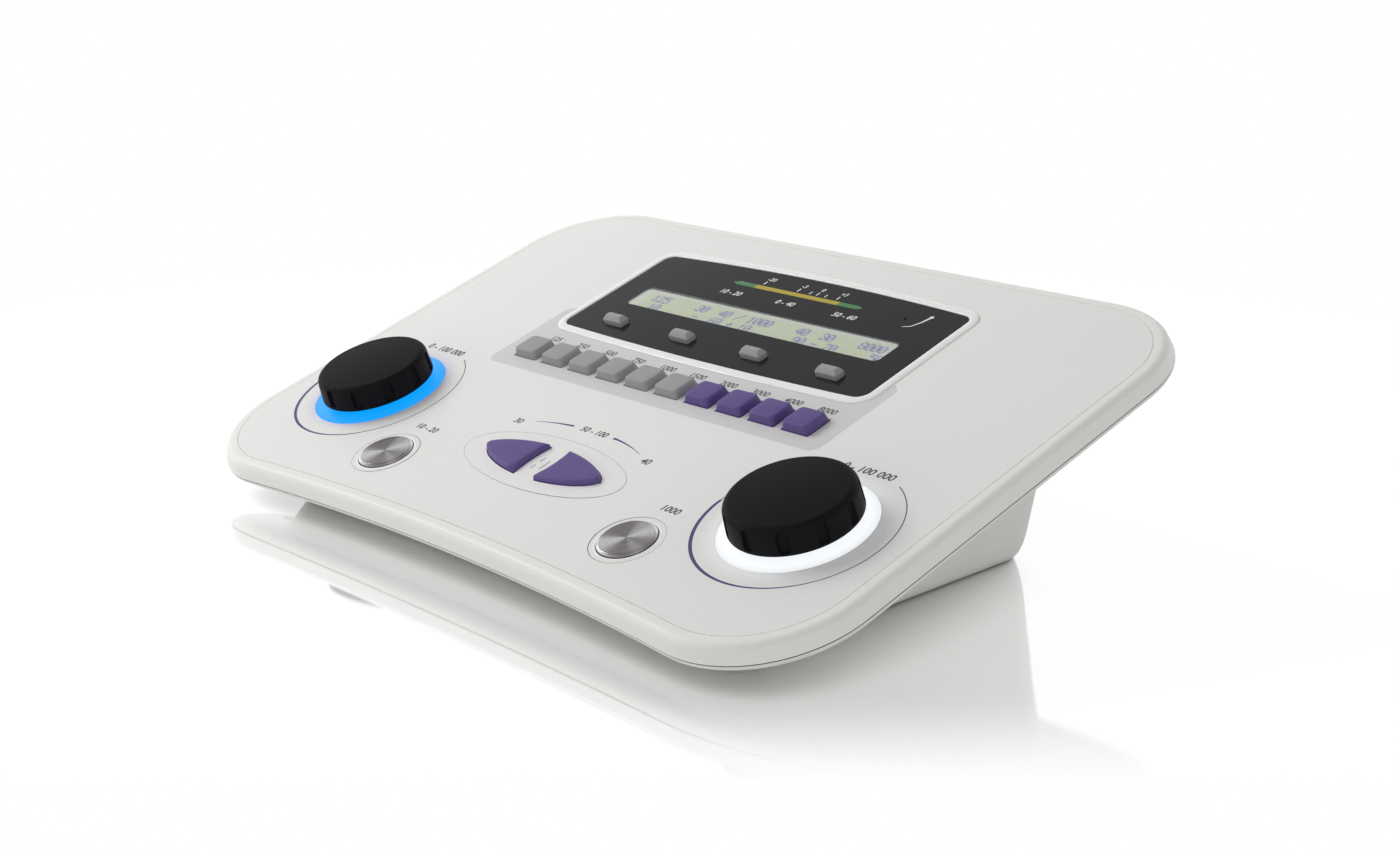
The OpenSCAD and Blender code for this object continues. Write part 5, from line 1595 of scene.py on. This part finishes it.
def lerp(n, factor, a, b):
    """A plain value between a and b."""
    node = n.add("ShaderNodeMix")
    for i, value in ((0, factor), (2, a), (3, b)):
        if isinstance(value, (int, float)):
            node.inputs[i].default_value = value
        else:
            n.link(value, node.inputs[i])
    return node.outputs[0]

# ---------------------------------------------------------------- operators


class AUDIOMETER_OT_shells(bpy.types.Operator):
    """Build the upper and the lower shell"""

    bl_idname = "audiometer.shells"
    bl_label = "Shells"

    def execute(self, context):
        build_upper_shell()
        build_lower_shell()
        seam_gasket()
        return {"FINISHED"}


class AUDIOMETER_OT_film(bpy.types.Operator):
    """Build the printed film and what is printed on it"""

    bl_idname = "audiometer.film"
    bl_label = "Printed film"

    def execute(self, context):
        build_film()
        build_prints()
        return {"FINISHED"}


class AUDIOMETER_OT_display(bpy.types.Operator):
    """Build the display, its face and its surround"""

    bl_idname = "audiometer.display"
    bl_label = "Display"

    def execute(self, context):
        build_display_frame()
        build_bezel()
        build_display()
        return {"FINISHED"}


class AUDIOMETER_OT_keys(bpy.types.Operator):
    """Build the keys and the soft keys"""

    bl_idname = "audiometer.keys"
    bl_label = "Keys"

    def execute(self, context):
        build_keys()
        build_soft_keys()
        return {"FINISHED"}


class AUDIOMETER_OT_buttons(bpy.types.Operator):
    """Build the talkover pair and the round buttons"""

    bl_idname = "audiometer.buttons"
    bl_label = "Buttons"

    def execute(self, context):
        build_talkover()
        build_round_buttons()
        return {"FINISHED"}


class AUDIOMETER_OT_knobs(bpy.types.Operator):
    """Build the knobs and the lit rings under them"""

    bl_idname = "audiometer.knobs"
    bl_label = "Knobs and rings"

    def execute(self, context):
        build_knobs()
        build_rings()
        return {"FINISHED"}


class AUDIOMETER_OT_solids(bpy.types.Operator):
    """Give the solids that still show their materials"""

    bl_idname = "audiometer.solids"
    bl_label = "Other solids"

    def execute(self, context):
        dress_solids()
        return {"FINISHED"}


class AUDIOMETER_OT_stage(bpy.types.Operator):
    """Build the floor, the lights, the world and the camera"""

    bl_idname = "audiometer.stage"
    bl_label = "Stage"

    def execute(self, context):
        build_stage()
        return {"FINISHED"}


OPERATORS = (AUDIOMETER_OT_shells, AUDIOMETER_OT_film, AUDIOMETER_OT_display, AUDIOMETER_OT_keys,
             AUDIOMETER_OT_buttons, AUDIOMETER_OT_knobs, AUDIOMETER_OT_solids, AUDIOMETER_OT_stage)


class AUDIOMETER_PT_panel(bpy.types.Panel):
    """Sizes, finishes and build steps of the audiometer"""

    bl_label = "Audiometer"
    bl_idname = "AUDIOMETER_PT_panel"
    bl_space_type = "VIEW_3D"
    bl_region_type = "UI"
    bl_category = "Audiometer"

    def draw(self, context):
        layout = self.layout
        for group in (context.scene.audiometer_housing, context.scene.audiometer_panel,
                      context.scene.audiometer_finishes):
            box = layout.box()
            for name in group.bl_rna.properties.keys():
                if name not in ("rna_type", "name"):
                    box.prop(group, name)
        for kind in OPERATORS:
            layout.operator(kind.bl_idname)


CLASSES = (HousingSizes, PanelSizes, Finishes, *OPERATORS, AUDIOMETER_PT_panel)


def register():
    for kind in CLASSES:
        bpy.utils.register_class(kind)
    bpy.types.Scene.audiometer_housing = PointerProperty(type=HousingSizes)
    bpy.types.Scene.audiometer_panel = PointerProperty(type=PanelSizes)
    bpy.types.Scene.audiometer_finishes = PointerProperty(type=Finishes)


def unregister():
    for name in ("audiometer_finishes", "audiometer_panel", "audiometer_housing"):
        delattr(bpy.types.Scene, name)
    for kind in reversed(CLASSES):
        bpy.utils.unregister_class(kind)


def main():
    register()
    for kind in OPERATORS:
        group, name = kind.bl_idname.split(".")
        getattr(getattr(bpy.ops, group), name)()


if __name__ == "__main__":
    main()
